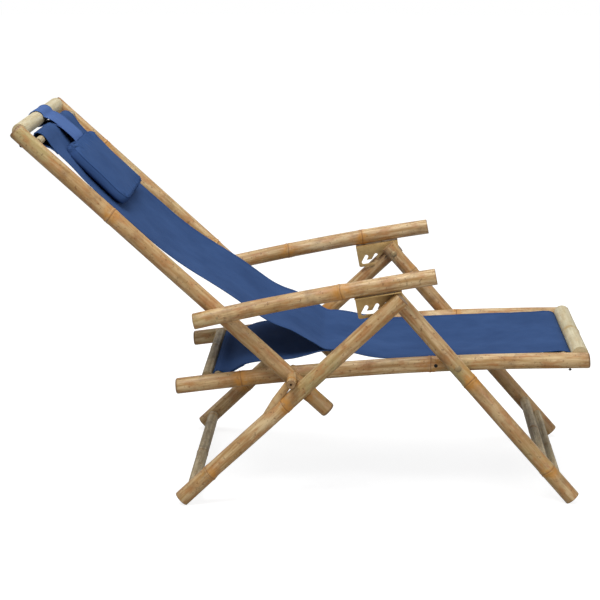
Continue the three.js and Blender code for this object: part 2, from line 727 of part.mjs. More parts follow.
// Cloth panels: a line of points in the side plane, given a width and a thickness
function clothPanel(line, halfWidth, thickness, centreY, sagAt) {
  const rows = line.length;
  const columns = CLOTH_COLUMNS;
  const positions = [];
  const lengths = [0];
  for (let row = 1; row < rows; row += 1) {
    lengths.push(lengths[row - 1] + line[row].distanceTo(line[row - 1]));
  }
  for (const face of [1, -1]) {
    for (let row = 0; row < rows; row += 1) {
      const before = line[Math.max(row - 1, 0)];
      const after = line[Math.min(row + 1, rows - 1)];
      const ahead = after.clone().sub(before).normalize();
      const out = new THREE.Vector2(-ahead.y, ahead.x);
      for (let column = 0; column <= columns; column += 1) {
        const across = 2 * column / columns - 1;
        const sag = sagAt(lengths[row] / lengths[rows - 1]) * (1 - across * across);
        const offset = face * thickness / 2 - sag;
        const x = line[row].x + out.x * offset;
        const z = line[row].y + out.y * offset;
        positions.push(x, centreY + across * halfWidth, z);
      }
    }
  }
  const stride = columns + 1;
  const lower = rows * stride;
  const indices = [];
  function quad(one, two, three, four) {
    indices.push(one, two, three, one, three, four);
  }
  for (let row = 0; row + 1 < rows; row += 1) {
    for (let column = 0; column < columns; column += 1) {
      const corner = row * stride + column;
      quad(corner, corner + stride, corner + stride + 1, corner + 1);
      quad(lower + corner, lower + corner + 1, lower + corner + stride + 1, lower + corner + stride);
    }
    const near = row * stride;
    const far = near + columns;
    quad(near, lower + near, lower + near + stride, near + stride);
    quad(far, far + stride, lower + far + stride, lower + far);
  }
  for (let column = 0; column < columns; column += 1) {
    const last = (rows - 1) * stride + column;
    quad(column, column + 1, lower + column + 1, lower + column);
    quad(last, lower + last, lower + last + 1, last + 1);
  }
  const geometry = new THREE.BufferGeometry();
  geometry.setAttribute('position', new THREE.Float32BufferAttribute(positions, 3));
  geometry.setIndex(indices);
  return geometry;
}

function sleeve(point, rodRadius, halfWidth) {
  const inner = rodRadius + GAP;
  const outer = inner + CLOTH_THICKNESS;
  const ring = turn([
    [inner, -halfWidth], [outer, -halfWidth], [outer, halfWidth], [inner, halfWidth], [inner, -halfWidth],
  ], ROD_SIDES);
  ring.translate(point.x, 0, point.y);
  return ring;
}

const BACK_CLOTH_SHARES = [
  [0.175, 0.0012], [0.275, 0.003], [0.375, 0.0055], [0.46, 0.0065], [0.552, 0.0086],
  [0.634, 0.0173], [0.706, 0.0295], [0.775, 0.043], [0.843, 0.052], [0.91, 0.059],
  [0.951, 0.069], [1, 0.0873],
];

function slingBack() {
  const reach = TOP_ROD_RADIUS + GAP + CLOTH_THICKNESS / 2;
  const line = [backPoint(TOP_ROD_ALONG, TOP_ROD_OUT - reach)];
  for (const [alongShare, outShare] of BACK_CLOTH_SHARES) {
    line.push(backPoint(alongShare * CLOTH_BACK_LENGTH, outShare * CLOTH_BACK_LENGTH));
  }
  const panel = clothPanel(line, CLOTH_HALF_WIDTH, CLOTH_THICKNESS, 0, (share) => CREASE_SAG * share * share);
  return unite([panel, sleeve(TOP_ROD_POINT, TOP_ROD_RADIUS, CLOTH_HALF_WIDTH)]);
}

const SEAT_CLOTH_SHARES = [
  [0, 0.912], [0.0257, 0.8], [0.072, 0.632], [0.1164, 0.426], [0.137, 0.309], [0.156, 0.258],
  [0.1986, 0.272], [0.2568, 0.176], [0.3647, 0.029], [0.4538, 0.051], [0.5428, 0.103],
  [0.7449, 0.184], [0.9486, 0.26],
];

function seatSag(share) {
  const crease = CREASE_SAG * (1 - share);
  return crease + SEAT_SAG * Math.sin(Math.PI * share) * Math.min(1, 2 * share);
}

function slingSeat() {
  const base = sidePoint(CLOTH_SEAT_X, CLOTH_SEAT_Z);
  const line = SEAT_CLOTH_SHARES.map(([alongShare, upShare]) => new THREE.Vector2(
    base.x + alongShare * (FRONT_ROD_POINT.x - base.x),
    base.y + upShare * CLOTH_SEAT_HEIGHT,
  ));
  const reach = SEAT_ROD_RADIUS + GAP + CLOTH_THICKNESS / 2;
  line.push(new THREE.Vector2(FRONT_ROD_POINT.x, FRONT_ROD_POINT.y + reach));
  const panel = clothPanel(line, CLOTH_HALF_WIDTH, CLOTH_THICKNESS, 0, seatSag);
  return unite([panel, sleeve(FRONT_ROD_POINT, SEAT_ROD_RADIUS, CLOTH_HALF_WIDTH)]);
}

const REAR_PANEL_SHARES = [[0.115, 0.31], [0.3, 0.42], [0.52, 0.52], [0.71, 0.64], [0.876, 0.85], [1, 1.02]];

function slingRearPanel() {
  const reach = SEAT_ROD_RADIUS + GAP + CLOTH_THICKNESS / 2;
  const line = [new THREE.Vector2(REAR_ROD_POINT.x, REAR_ROD_POINT.y + reach)];
  for (const [alongShare, upShare] of REAR_PANEL_SHARES) {
    line.push(new THREE.Vector2(
      REAR_ROD_POINT.x + alongShare * REAR_PANEL_LENGTH,
      REAR_ROD_POINT.y + reach + upShare * (REAR_PANEL_HEIGHT - reach),
    ));
  }
  const panel = clothPanel(line, CLOTH_HALF_WIDTH, CLOTH_THICKNESS, 0, (share) => CREASE_SAG * share);
  return unite([panel, sleeve(REAR_ROD_POINT, SEAT_ROD_RADIUS, CLOTH_HALF_WIDTH)]);
}

// Pillow: full in the middle, drawn in along its sides, with pointed corners
function pillowOutline(share) {
  return 1 - share ** 4;
}

function pillow() {
  const positions = [];
  const stride = PILLOW_COLUMNS + 1;
  for (const face of [1, -1]) {
    const height = face > 0 ? PILLOW_CROWN : PILLOW_UNDERSIDE;
    for (let row = 0; row <= PILLOW_ROWS; row += 1) {
      for (let column = 0; column <= PILLOW_COLUMNS; column += 1) {
        const across = -Math.cos(Math.PI * column / PILLOW_COLUMNS);
        const along = -Math.cos(Math.PI * row / PILLOW_ROWS);
        const drawAcross = PILLOW_DRAW_IN * (1 - along * along);
        const drawAlong = PILLOW_DRAW_IN * (1 - across * across);
        const fullness = Math.sqrt(Math.max(0, pillowOutline(across) * pillowOutline(along)));
        const edge = Math.max(Math.abs(across), Math.abs(along)) >= 1;
        const out = PILLOW_SEAM_OUT + (edge ? 0 : face * height * fullness);
        const point = backPoint(PILLOW_ALONG + along * (PILLOW_HALF_LENGTH - drawAlong), out);
        positions.push(point.x, across * (PILLOW_HALF_WIDTH - drawAcross), point.y);
      }
    }
  }
  const lower = stride * (PILLOW_ROWS + 1);
  const indices = [];
  for (let row = 0; row < PILLOW_ROWS; row += 1) {
    for (let column = 0; column < PILLOW_COLUMNS; column += 1) {
      const corner = row * stride + column;
      const next = corner + stride;
      indices.push(corner, next, next + 1, corner, next + 1, corner + 1);
      indices.push(lower + corner, lower + next + 1, lower + next);
      indices.push(lower + corner, lower + corner + 1, lower + next + 1);
    }
  }
  const geometry = new THREE.BufferGeometry();
  geometry.setAttribute('position', new THREE.Float32BufferAttribute(positions, 3));
  geometry.setIndex(indices);
  return fromManifold(toManifold(geometry));
}

// Strap: a tongue from the upper seam of the pillow to a loop round the top rail
const STRAP_LINE_SHARES = [[0.2, 0.78], [0.42, 0.99], [0.65, 1.04], [0.97, 0.98]];

function pillowStrap() {
  const inner = TOP_RAIL_RADIUS + STRAP_SLACK;
  const outer = inner + STRAP_THICKNESS;
  const middle = (inner + outer) / 2;
  const seamAlong = PILLOW_ALONG - PILLOW_HALF_LENGTH + PILLOW_DRAW_IN;
  const line = [backPoint(TOP_RAIL_ALONG + middle / 2, TOP_RAIL_OUT + middle * Math.sqrt(3) / 2)];
  for (const [alongShare, outShare] of STRAP_LINE_SHARES) {
    line.push(backPoint(alongShare * seamAlong, outShare * PILLOW_SEAM_OUT));
  }
  const tongue = clothPanel(line, STRAP_HALF_WIDTH, STRAP_THICKNESS, STRAP_CENTRE_Y, () => 0);
  const loop = turn([
    [inner, -STRAP_HALF_WIDTH], [outer, -STRAP_HALF_WIDTH], [outer, STRAP_HALF_WIDTH],
    [inner, STRAP_HALF_WIDTH], [inner, -STRAP_HALF_WIDTH],
  ], 2 * ROD_SIDES);
  loop.translate(TOP_RAIL_POINT.x, STRAP_CENTRE_Y, TOP_RAIL_POINT.y);
  const railRoom = acrossCylinder(TOP_RAIL_POINT, inner, -BACK_LAYER, BACK_LAYER, 2 * ROD_SIDES);
  return carve(unite([tongue, loop]), [railRoom]);
}

// Assembly
const recliner = new THREE.Group();
recliner.name = 'folding_recliner';

function add(name, geometry, material) {
  const bare = geometry.clone();
  bare.deleteAttribute('uv');
  bare.computeVertexNormals();
  const mesh = new THREE.Mesh(bare, material);
  mesh.name = name;
  recliner.add(mesh);
}

function bothSides(name, maker, material) {
  add(`${name}_right`, maker(RIGHT), material);
  add(`${name}_left`, maker(LEFT), material);
}

const seatShoulder = SEAT_LAYER - POLE_RADIUS - SHOULDER_GAP;
const backShoulder = BACK_LAYER - POLE_RADIUS - SHOULDER_GAP;
const armShoulder = ARM_LAYER - POLE_RADIUS - SHOULDER_GAP;

// Seat frame
bothSides('seat_rail', seatRail, BAMBOO);
bothSides('seat_rail_plug', seatRailPlug, BLACK_SCREW);
bothSides('seat_rail_screw', (side) => {
  const line = seatLine(side * SEAT_LAYER);
  const { point, heading } = railScrewPlace(line, FRONT_SCREW_X);
  return screw(point, heading, line.y);
}, BLACK_SCREW);
add(
  'front_cross_rail',
  crossBar(FRONT_RAIL_POINT, FRONT_RAIL_RADIUS, seatShoulder, TENON_RADIUS, MIDDLE_NODE_SHARES),
  PALE_BAMBOO,
);
add(
  'front_sling_rod',
  crossBar(FRONT_ROD_POINT, SEAT_ROD_RADIUS, seatShoulder, ROD_TENON_RADIUS),
  GREY_BAMBOO,
);
add(
  'rear_cross_rail',
  crossBar(REAR_RAIL_POINT, REAR_RAIL_RADIUS, seatShoulder, ROD_TENON_RADIUS, MIDDLE_NODE_SHARES),
  GREY_BAMBOO,
);
add(
  'rear_sling_rod',
  crossBar(REAR_ROD_POINT, SEAT_ROD_RADIUS, seatShoulder, ROD_TENON_RADIUS),
  GREY_BAMBOO,
);
bothSides(
  'axle_peg',
  (side) => acrossCylinder(AXLE_POINT, AXLE_RADIUS, side * PEG_START, side * PEG_END, POLE_SIDES),
  BAMBOO,
);
add('sling_seat', slingSeat(), CLOTH);
add('sling_rear_panel', slingRearPanel(), CLOTH);

// Back frame
bothSides('back_rail', backRail, BAMBOO);
bothSides('back_rail_screw', (side) => {
  const line = backLine(side * BACK_LAYER);
  const { point, heading } = backScrewPlace(line);
  return screw(point, heading, line.y);
}, BLACK_SCREW);
add(
  'top_cross_rail',
  crossBar(TOP_RAIL_POINT, TOP_RAIL_RADIUS, backShoulder, TENON_RADIUS),
  PALE_BAMBOO,
);
add(
  'top_sling_rod',
  crossBar(TOP_ROD_POINT, TOP_ROD_RADIUS, backShoulder, ROD_TENON_RADIUS),
  GREY_BAMBOO,
);
bothSides('arm_pivot_bolt', armPivotBolt, STEEL);
add('sling_back', slingBack(), CLOTH);

// Armrests
bothSides('armrest', armrest, BAMBOO);
bothSides('notch_bracket', notchBracket, ZINC);
bothSides('bracket_screw_rear', (side) => bracketScrew(side, BRACKET_SCREW_SHARES[0]), STEEL);
bothSides('bracket_screw_front', (side) => bracketScrew(side, BRACKET_SCREW_SHARES[1]), STEEL);

// Front legs
bothSides('front_leg', frontLeg, BAMBOO);
add(
  'front_stretcher_thick',
  crossBar(THICK_STRETCHER_POINT, THICK_STRETCHER_RADIUS, backShoulder, TENON_RADIUS, MIDDLE_NODE_SHARES),
  GREY_BAMBOO,
);
add(
  'front_stretcher_thin',
  crossBar(THIN_STRETCHER_POINT, THIN_STRETCHER_RADIUS, backShoulder, ROD_TENON_RADIUS, MIDDLE_NODE_SHARES),
  GREY_BAMBOO,
);
bothSides('apex_bolt', apexBolt, STEEL);
bothSides('front_pivot_bolt', frontPivotBolt, STEEL);

// Rear legs
bothSides('rear_leg', rearLeg, BAMBOO);
add(
  'rear_stretcher',
  crossBar(REAR_STRETCHER_POINT, REAR_STRETCHER_RADIUS, armShoulder, TENON_RADIUS, MIDDLE_NODE_SHARES),
  GREY_BAMBOO,
);
bothSides('cradle_strut', cradleStrut, BAMBOO);
bothSides('strut_screw', strutScrew, BLACK_SCREW);

// Pillow
add('pillow', pillow(), CLOTH);
add('pillow_strap', pillowStrap(), STRAP_CLOTH);

export default recliner;
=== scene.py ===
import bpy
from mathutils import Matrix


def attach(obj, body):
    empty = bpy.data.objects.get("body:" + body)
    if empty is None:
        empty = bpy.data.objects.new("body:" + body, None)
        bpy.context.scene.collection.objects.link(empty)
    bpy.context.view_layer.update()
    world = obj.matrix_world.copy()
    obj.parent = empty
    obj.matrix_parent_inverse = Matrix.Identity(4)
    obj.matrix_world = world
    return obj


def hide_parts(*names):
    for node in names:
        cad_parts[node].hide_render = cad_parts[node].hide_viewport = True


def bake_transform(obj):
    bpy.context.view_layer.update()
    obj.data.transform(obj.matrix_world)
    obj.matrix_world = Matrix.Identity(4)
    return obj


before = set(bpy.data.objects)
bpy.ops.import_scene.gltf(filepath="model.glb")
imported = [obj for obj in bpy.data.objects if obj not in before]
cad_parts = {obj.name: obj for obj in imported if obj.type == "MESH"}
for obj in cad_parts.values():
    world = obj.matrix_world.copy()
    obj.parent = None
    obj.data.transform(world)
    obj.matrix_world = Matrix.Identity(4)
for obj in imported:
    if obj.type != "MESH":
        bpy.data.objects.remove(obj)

"""Looks of a folding bamboo recliner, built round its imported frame.

Places are written in millimetres in the side plane of the chair, x from the top of the back to the feet.
"""

import logging
import math
from dataclasses import dataclass, field
from enum import Enum
from typing import Callable, Sequence

import bmesh
import bpy
from mathutils import Matrix, Vector, noise

log = logging.getLogger("recliner")

MM = 0.001
ORIGIN_X = 577.0

SEAT_LAYER = 212.0
BACK_LAYER = 246.0
ARM_LAYER = 282.0
POLE_RADIUS = 16.5


class Body(str, Enum):
    """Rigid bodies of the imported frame."""

    SEAT = "seat_frame"
    BACK = "back_frame"
    ARM_RIGHT = "arm_right"
    ARM_LEFT = "arm_left"
    FRONT_LEGS = "front_legs"
    REAR_LEGS = "rear_legs"
    PILLOW = "head_pillow"


class Slot(str, Enum):
    """Material slots of the record."""

    BAMBOO = "bamboo"
    PALE = "pale_bamboo"
    GREY = "grey_bamboo"
    CLOTH = "cloth"
    STRAP = "strap_cloth"
    ZINC = "zinc"
    STEEL = "steel"
    BLACK = "black_screw"


def hex_color(code: str) -> tuple[float, float, float, float]:
    """Turns an sRGB hex code into linear colour.

    Args:
        code: Six hex digits, with or without a leading hash.

    Returns:
        Red, green, blue and alpha, linear.
    """
    digits = code.lstrip("#")
    channels = [int(digits[i : i + 2], 16) / 255 for i in (0, 2, 4)]
    linear = [c / 12.92 if c <= 0.04045 else ((c + 0.055) / 1.055) ** 2.4 for c in channels]
    return (linear[0], linear[1], linear[2], 1.0)


def side(x: float, z: float) -> Vector:
    """Point of the side plane as a two-part vector in metres."""
    return Vector(((x - ORIGIN_X) * MM, z * MM))


BACK_TOP, BACK_LOW = (-5.0, 775.7), (631.0, 194.0)
BACK_START, BACK_END = side(*BACK_TOP), side(*BACK_LOW)
BACK_AHEAD = (BACK_END - BACK_START).normalized()
BACK_OUT = Vector((-BACK_AHEAD.y, BACK_AHEAD.x))


def back_point(along: float, out: float) -> Vector:
    """Point given along the back rail and out towards the sitter, in millimetres."""
    return BACK_START + BACK_AHEAD * along * MM + BACK_OUT * out * MM


# Finishes


@dataclass(frozen=True)
class BambooFinish:
    """Colours and gloss of one kind of cane."""

    name: str
    light: str
    dark: str
    node: str
    stain: str
    cut: str
    roughness: float
    cool: str
    warm: str
    fibre: float = 0.5
    stain_amount: float = 0.4


@dataclass(frozen=True)
class ClothFinish:
    """Colours of one cloth."""

    name: str
    base: str
    shade: str
    roughness: float = 0.92


@dataclass(frozen=True)
class MetalFinish:
    """Colour and gloss of one metal."""

    name: str
    base: str
    blotch: str
    roughness: float
    metallic: float = 1.0


@dataclass(frozen=True)
class Pattern:
    """One layer of noise: its fineness, the range of it that shows and how strongly it shows."""

    scale: float
    detail: float
    low: float
    high: float
    share: float = 1.0


BAMBOO = BambooFinish(
    name="Varnished bamboo cane",
    light="#dfc496",
    dark="#ab8552",
    node="#c08230",
    stain="#6b4626",
    cut="#a98a62",
    roughness=0.36,
    cool="#a7a36e",
    warm="#ae7642",
)
PALE_BAMBOO = BambooFinish(
    name="Pale bamboo cane",
    light="#d9d0b2",
    dark="#c0b189",
    node="#a98c58",
    stain="#9a8a66",
    cut="#d3c29a",
    roughness=0.45,
    cool="#b4b08e",
    warm="#c4ae84",
    stain_amount=0.12,
)
GREY_BAMBOO = BambooFinish(
    name="Weathered bamboo cane",
    light="#dccaa4",
    dark="#ab9770",
    node="#a5773f",
    stain="#5c4a33",
    cut="#a8946a",
    roughness=0.5,
    cool="#96946f",
    warm="#a88a60",
    fibre=0.6,
)
CANVAS = ClothFinish("Navy cotton canvas", base="#38527f", shade="#2d456f")
STRAP_CANVAS = ClothFinish("Navy cotton strap", base="#4f6b9f", shade="#435c90")
YELLOW_ZINC = MetalFinish("Yellow zinc plate", "#cfae72", "#b29058", roughness=0.44, metallic=0.28)
BRIGHT_ZINC = MetalFinish("Dulled zinc plate", "#ac9468", "#7c6a4c", roughness=0.5, metallic=0.2)
BLACK_OXIDE = MetalFinish("Black oxide steel", "#242220", "#161514", roughness=0.45, metallic=0.6)
STITCH_COLOR = "#16224a"
FLOOR_COLOR = "#a8a8a8"
WHITE = (1.0, 1.0, 1.0, 1.0)

STREAKS = Pattern(1.6, 4.0, 0.38, 0.62)
FIBRES = Pattern(2.0, 3.0, 0.3, 0.7, share=0.26)
COOL_STAINS = Pattern(5.5, 3.0, 0.54, 0.7, share=0.5)
WARM_STAINS = Pattern(1.7, 6.0, 0.48, 0.62, share=0.7)
BLOTCHES = Pattern(26.0, 6.0, 0.52, 0.66)
FRECKLES = Pattern(150.0, 3.0, 0.6, 0.68, share=0.6)
NODE_PATCHES = Pattern(42.0, 3.0, 0.36, 0.58, share=0.75)
PORES = Pattern(700.0, 1.0, 0.42, 0.62, share=0.5)
DYE = Pattern(9.0, 4.0, 0.3, 0.7)
WEAVE = Pattern(1.0, 1.0, 0.3, 0.7, share=0.25)
PLATE_BLOTCHES = Pattern(60.0, 4.0, 0.35, 0.7)
NOISE_ROUGHNESS = 0.6

# How a pattern is squeezed round the wall and along the piece
STREAK_STRETCH = (9.0, 6.0, 1.0)
FIBRE_STRETCH = (60.0, 6.0, 1.0)
STAIN_STRETCH = (5.0, 14.0, 1.0)
WARP_STRETCH = (1400.0, 160.0, 1.0)
WEFT_STRETCH = (160.0, 1400.0, 1.0)

TONE_SHARE = 0.5
SCAR_SHARE = 0.85
RIM_AND_BORE_SHADE_SHARE = 0.7
STITCH_SHARE = 0.6
CANE_SHINE = 0.4
CLOTH_SHINE = 0.08
FIBRE_RELIEF = (0.25, 0.0006)
WEAVE_RELIEF = (0.35, 0.0004)
PLATE_SMOOTHER = 0.06
PLATE_ROUGHER = 0.12
FLOOR_ROUGHNESS = 0.95
FLOOR_GLOW = 0.82


class Shader:
    """Small helper that adds and links the nodes of one material."""

    def __init__(self, name: str) -> None:
        """Starts a material with an empty surface.

        Args:
            name: Name of the material.
        """
        self.material = bpy.data.materials.new(name)
        self.material.use_nodes = True
        self.tree = self.material.node_tree
        self.tree.nodes.clear()
        self.output = self.add("ShaderNodeOutputMaterial")
        self.surface = self.add("ShaderNodeBsdfPrincipled")
        self.tree.links.new(self.surface.outputs["BSDF"], self.output.inputs["Surface"])

    def add(self, kind: str, **inputs: object) -> bpy.types.Node:
        """Adds a node and fills its named inputs.

        Args:
            kind: Node class name.
            inputs: Input names with underscores for spaces, and values or sockets.

        Returns:
            The new node.
        """
        node = self.tree.nodes.new(kind)
        for key, value in inputs.items():
            self.put(node, key.replace("_", " "), value)
        return node

    def put(self, node: bpy.types.Node, name: str, value: object) -> None:
        """Sets an input to a value, or links a socket to it.

        Args:
            node: Node that has the input.
            name: Name of the input.
            value: Value or socket.
        """
        socket = node.inputs[name]
        if isinstance(value, bpy.types.NodeSocket):
            self.tree.links.new(value, socket)
        else:
            socket.default_value = value

    def mix(self, amount: object, one: object, other: object) -> bpy.types.NodeSocket:
        """Mixes two colours.

        Args:
            amount: Share of the second colour, a number or a socket.
            one: First colour or socket.
            other: Second colour or socket.

        Returns:
            The mixed colour socket.
        """
        node = self.tree.nodes.new("ShaderNodeMix")
        node.data_type = "RGBA"
        for index, value in ((0, amount), (6, one), (7, other)):
            if isinstance(value, bpy.types.NodeSocket):
                self.tree.links.new(value, node.inputs[index])
            else:
                node.inputs[index].default_value = value
        return node.outputs[2]

    def scaled(self, vector: bpy.types.NodeSocket, scale: tuple) -> bpy.types.NodeSocket:
        """Scales texture coordinates."""
        node = self.add("ShaderNodeMapping", Vector=vector, Scale=scale)
        return node.outputs["Vector"]

    def layer(self, vector: bpy.types.NodeSocket, pattern: Pattern) -> bpy.types.NodeSocket:
        """Adds noise, with the pattern's range stretched over 0 to 1.

        Args:
            vector: Coordinates socket.
            pattern: Scale, detail and range of the noise.

        Returns:
            Socket of the noise.
        """
        cloud = self.add("ShaderNodeTexNoise", Vector=vector, Scale=pattern.scale, Detail=pattern.detail)
        self.put(cloud, "Roughness", NOISE_ROUGHNESS)
        value = cloud.outputs[0]
        node = self.add("ShaderNodeMapRange", Value=value, From_Min=pattern.low, From_Max=pattern.high)
        return node.outputs["Result"]

    def times(self, one: object, other: object) -> bpy.types.NodeSocket:
        """Multiplies two values.

        Args:
            one: First value or socket.
            other: Second value or socket.

        Returns:
            Socket of the product.
        """
        node = self.tree.nodes.new("ShaderNodeMath")
        node.operation = "MULTIPLY"
        for index, value in enumerate((one, other)):
            if isinstance(value, bpy.types.NodeSocket):
                self.tree.links.new(value, node.inputs[index])
            else:
                node.inputs[index].default_value = value
        return node.outputs[0]

    def attribute(self, name: str) -> bpy.types.NodeSocket:
        """Reads a mesh attribute.

        Args:
            name: Name of the attribute.

        Returns:
            Socket of its value.
        """
        node = self.tree.nodes.new("ShaderNodeAttribute")
        node.attribute_name = name
        return node.outputs["Fac"]

    def bump(self, height: bpy.types.NodeSocket, strength: float, distance: float) -> None:
        """Adds relief to the surface."""
        node = self.add("ShaderNodeBump", Strength=strength, Distance=distance, Height=height)
        self.tree.links.new(node.outputs["Normal"], self.surface.inputs["Normal"])


def bamboo_material(finish: BambooFinish) -> bpy.types.Material:
    """Makes cane: streaks along the pole, warm nodes, stains and fibrous cut ends.

    Args:
        finish: Colours and amounts of the cane.

    Returns:
        The material.
    """
    shader = Shader(finish.name)
    coordinates = shader.add("ShaderNodeTexCoord")
    wall, space = coordinates.outputs["UV"], coordinates.outputs["Object"]
    dark, stain = hex_color(finish.dark), hex_color(finish.stain)
    fibres = shader.layer(shader.scaled(wall, FIBRE_STRETCH), FIBRES)
    streaks = shader.layer(shader.scaled(wall, STREAK_STRETCH), STREAKS)
    warm = shader.layer(shader.scaled(wall, STAIN_STRETCH), WARM_STAINS)
    patches = shader.times(shader.attribute("node"), shader.layer(space, NODE_PATCHES))
    pores = shader.times(shader.layer(space, PORES), PORES.share)
    coats = (
        (shader.times(shader.attribute("tone"), TONE_SHARE), dark),
        (shader.times(shader.layer(space, COOL_STAINS), COOL_STAINS.share), hex_color(finish.cool)),
        (shader.times(warm, WARM_STAINS.share), hex_color(finish.warm)),
        (shader.times(fibres, FIBRES.share * finish.fibre), stain),
        (shader.times(shader.layer(space, BLOTCHES), finish.stain_amount), stain),
        (shader.times(shader.layer(space, FRECKLES), FRECKLES.share), stain),
        (shader.times(patches, NODE_PATCHES.share), hex_color(finish.node)),
        (shader.times(shader.attribute("scar"), SCAR_SHARE), stain),
        (shader.attribute("cut"), shader.mix(pores, hex_color(finish.cut), stain)),
        # The rim colour darkens the rims of the cut ends, and inside the bores it is painted shade
        (shader.times(shader.attribute("rim"), RIM_AND_BORE_SHADE_SHARE), stain),
    )
    color = shader.mix(streaks, hex_color(finish.light), dark)
    for amount, coat in coats:
        color = shader.mix(amount, color, coat)
    shader.put(shader.surface, "Base Color", color)
    shader.put(shader.surface, "Roughness", finish.roughness)
    shader.put(shader.surface, "Specular IOR Level", CANE_SHINE)
    shader.bump(fibres, *FIBRE_RELIEF)
    return shader.material


def cloth_material(finish: ClothFinish) -> bpy.types.Material:
    """Makes canvas: a plain weave, slightly uneven dye, and stitch lines where the mesh marks them.

    Args:
        finish: Colours and roughness of the cloth.

    Returns:
        The material.
    """
    shader = Shader(finish.name)
    sheet = shader.add("ShaderNodeTexCoord").outputs["UV"]
    shade = hex_color(finish.shade)
    color = shader.mix(shader.layer(sheet, DYE), hex_color(finish.base), shade)
    warp = shader.layer(shader.scaled(sheet, WARP_STRETCH), WEAVE)
    weft = shader.layer(shader.scaled(sheet, WEFT_STRETCH), WEAVE)
    weave = shader.times(warp, weft)
    color = shader.mix(shader.times(weave, WEAVE.share), color, shade)
    stitches = shader.times(shader.attribute("stitch"), STITCH_SHARE)
    color = shader.mix(stitches, color, hex_color(STITCH_COLOR))
    shader.put(shader.surface, "Base Color", color)
    shader.put(shader.surface, "Roughness", finish.roughness)
    shader.put(shader.surface, "Specular IOR Level", CLOTH_SHINE)
    shader.bump(weave, *WEAVE_RELIEF)
    return shader.material


def metal_material(finish: MetalFinish) -> bpy.types.Material:
    """Makes plated steel with faint blotches.

    Args:
        finish: Colours and roughness of the plate.

    Returns:
        The material.
    """
    shader = Shader(finish.name)
    space = shader.add("ShaderNodeTexCoord").outputs["Object"]
    blotch = shader.layer(space, PLATE_BLOTCHES)
    color = shader.mix(blotch, hex_color(finish.base), hex_color(finish.blotch))
    shader.put(shader.surface, "Base Color", color)
    rough = shader.add("ShaderNodeMapRange", Value=blotch)
    shader.put(rough, "To Min", finish.roughness - PLATE_SMOOTHER)
    shader.put(rough, "To Max", finish.roughness + PLATE_ROUGHER)
    shader.put(shader.surface, "Roughness", rough.outputs["Result"])
    shader.put(shader.surface, "Metallic", finish.metallic)
    return shader.material


def floor_material() -> bpy.types.Material:
    """Makes the white studio floor, which keeps only a faint shadow to the camera.

    Returns:
        The material.
    """
    shader = Shader("Studio floor")
    path = shader.add("ShaderNodeLightPath")
    shader.put(shader.surface, "Base Color", hex_color(FLOOR_COLOR))
    shader.put(shader.surface, "Roughness", FLOOR_ROUGHNESS)
    shader.put(shader.surface, "Specular IOR Level", 0.0)
    shader.put(shader.surface, "Emission Color", WHITE)
    seen = path.outputs["Is Camera Ray"]
    glow = shader.add("ShaderNodeMapRange", Value=seen, To_Min=0.0, To_Max=FLOOR_GLOW)
    shader.put(shader.surface, "Emission Strength", glow.outputs["Result"])
    return shader.material


@dataclass
class Palette:
    """Materials shared by every piece."""

    materials: dict[Slot, bpy.types.Material] = field(default_factory=dict)

    @classmethod
    def build(cls) -> "Palette":
        """Makes one material for each slot.

        Returns:
            The palette.
        """
        return cls(
            {
                Slot.BAMBOO: bamboo_material(BAMBOO),
                Slot.PALE: bamboo_material(PALE_BAMBOO),
                Slot.GREY: bamboo_material(GREY_BAMBOO),
                Slot.CLOTH: cloth_material(CANVAS),
                Slot.STRAP: cloth_material(STRAP_CANVAS),
                Slot.ZINC: metal_material(YELLOW_ZINC),
                Slot.STEEL: metal_material(BRIGHT_ZINC),
                Slot.BLACK: metal_material(BLACK_OXIDE),
            }
        )

    def dress(self, obj: bpy.types.Object, slot: Slot) -> bpy.types.Object:
        """Gives an object the material of a slot.

        Args:
            obj: Object to dress.
            slot: Its material slot.

        Returns:
            The object.
        """
        obj.data.materials.clear()
        obj.data.materials.append(self.materials[slot])
        return obj


# Meshes


@dataclass
class Surface:
    """Grid of points that becomes a mesh, with named values at each point."""

    name: str
    points: list[Vector] = field(default_factory=list)
    faces: list[tuple[int, ...]] = field(default_factory=list)
    uvs: list[tuple[tuple[float, float], ...]] = field(default_factory=list)
    values: dict[str, list[float]] = field(default_factory=dict)

    def point(self, place: Vector, **values: float) -> int:
        """Adds a point and its values.

        Args:
            place: Place of the point, in metres.
            values: Named values at the point; one that is left out is zero.

        Returns:
            Number of the point.
        """
        self.points.append(place)
        for name in self.values:
            self.values[name].append(values.get(name, 0.0))
        return len(self.points) - 1

    def face(self, corners: tuple[int, ...], uvs: tuple[tuple[float, float], ...]) -> None:
        """Adds a face with its texture places."""
        self.faces.append(corners)
        self.uvs.append(uvs)

    def build(self, smooth_angle: float = 50.0) -> bpy.types.Object:
        """Makes the object.

        Args:
            smooth_angle: Edges sharper than this, in degrees, stay sharp.

        Returns:
            The linked object.
        """
        mesh = bpy.data.meshes.new(self.name)
        mesh.from_pydata([tuple(p) for p in self.points], [], self.faces)
        layer = mesh.uv_layers.new(name="UVMap")
        flat = [pair for group in self.uvs for pair in group]
        for loop, pair in zip(layer.data, flat):
            loop.uv = pair
        for name, numbers in self.values.items():
            mesh.attributes.new(name, "FLOAT", "POINT").data.foreach_set("value", numbers)
        work = bmesh.new()
        work.from_mesh(mesh)
        bmesh.ops.recalc_face_normals(work, faces=work.faces)
        limit = math.radians(smooth_angle)
        for edge in work.edges:
            edge.smooth = len(edge.link_faces) == 2 and edge.calc_face_angle(0.0) < limit
        for face in work.faces:
            face.smooth = True
        work.to_mesh(mesh)
        work.free()
        obj = bpy.data.objects.new(self.name, mesh)
        bpy.context.scene.collection.objects.link(obj)
        return obj


@dataclass(frozen=True)
class Bell:
    """Bell-shaped bump just past a node: its height, place and spread in millimetres."""

    height: float
    centre: float
    spread: float
    power: int = 2

    def at(self, gap: float) -> float:
        """Height at a distance past the node."""
        return self.height * math.exp(-(((gap - self.centre) / self.spread) ** self.power))


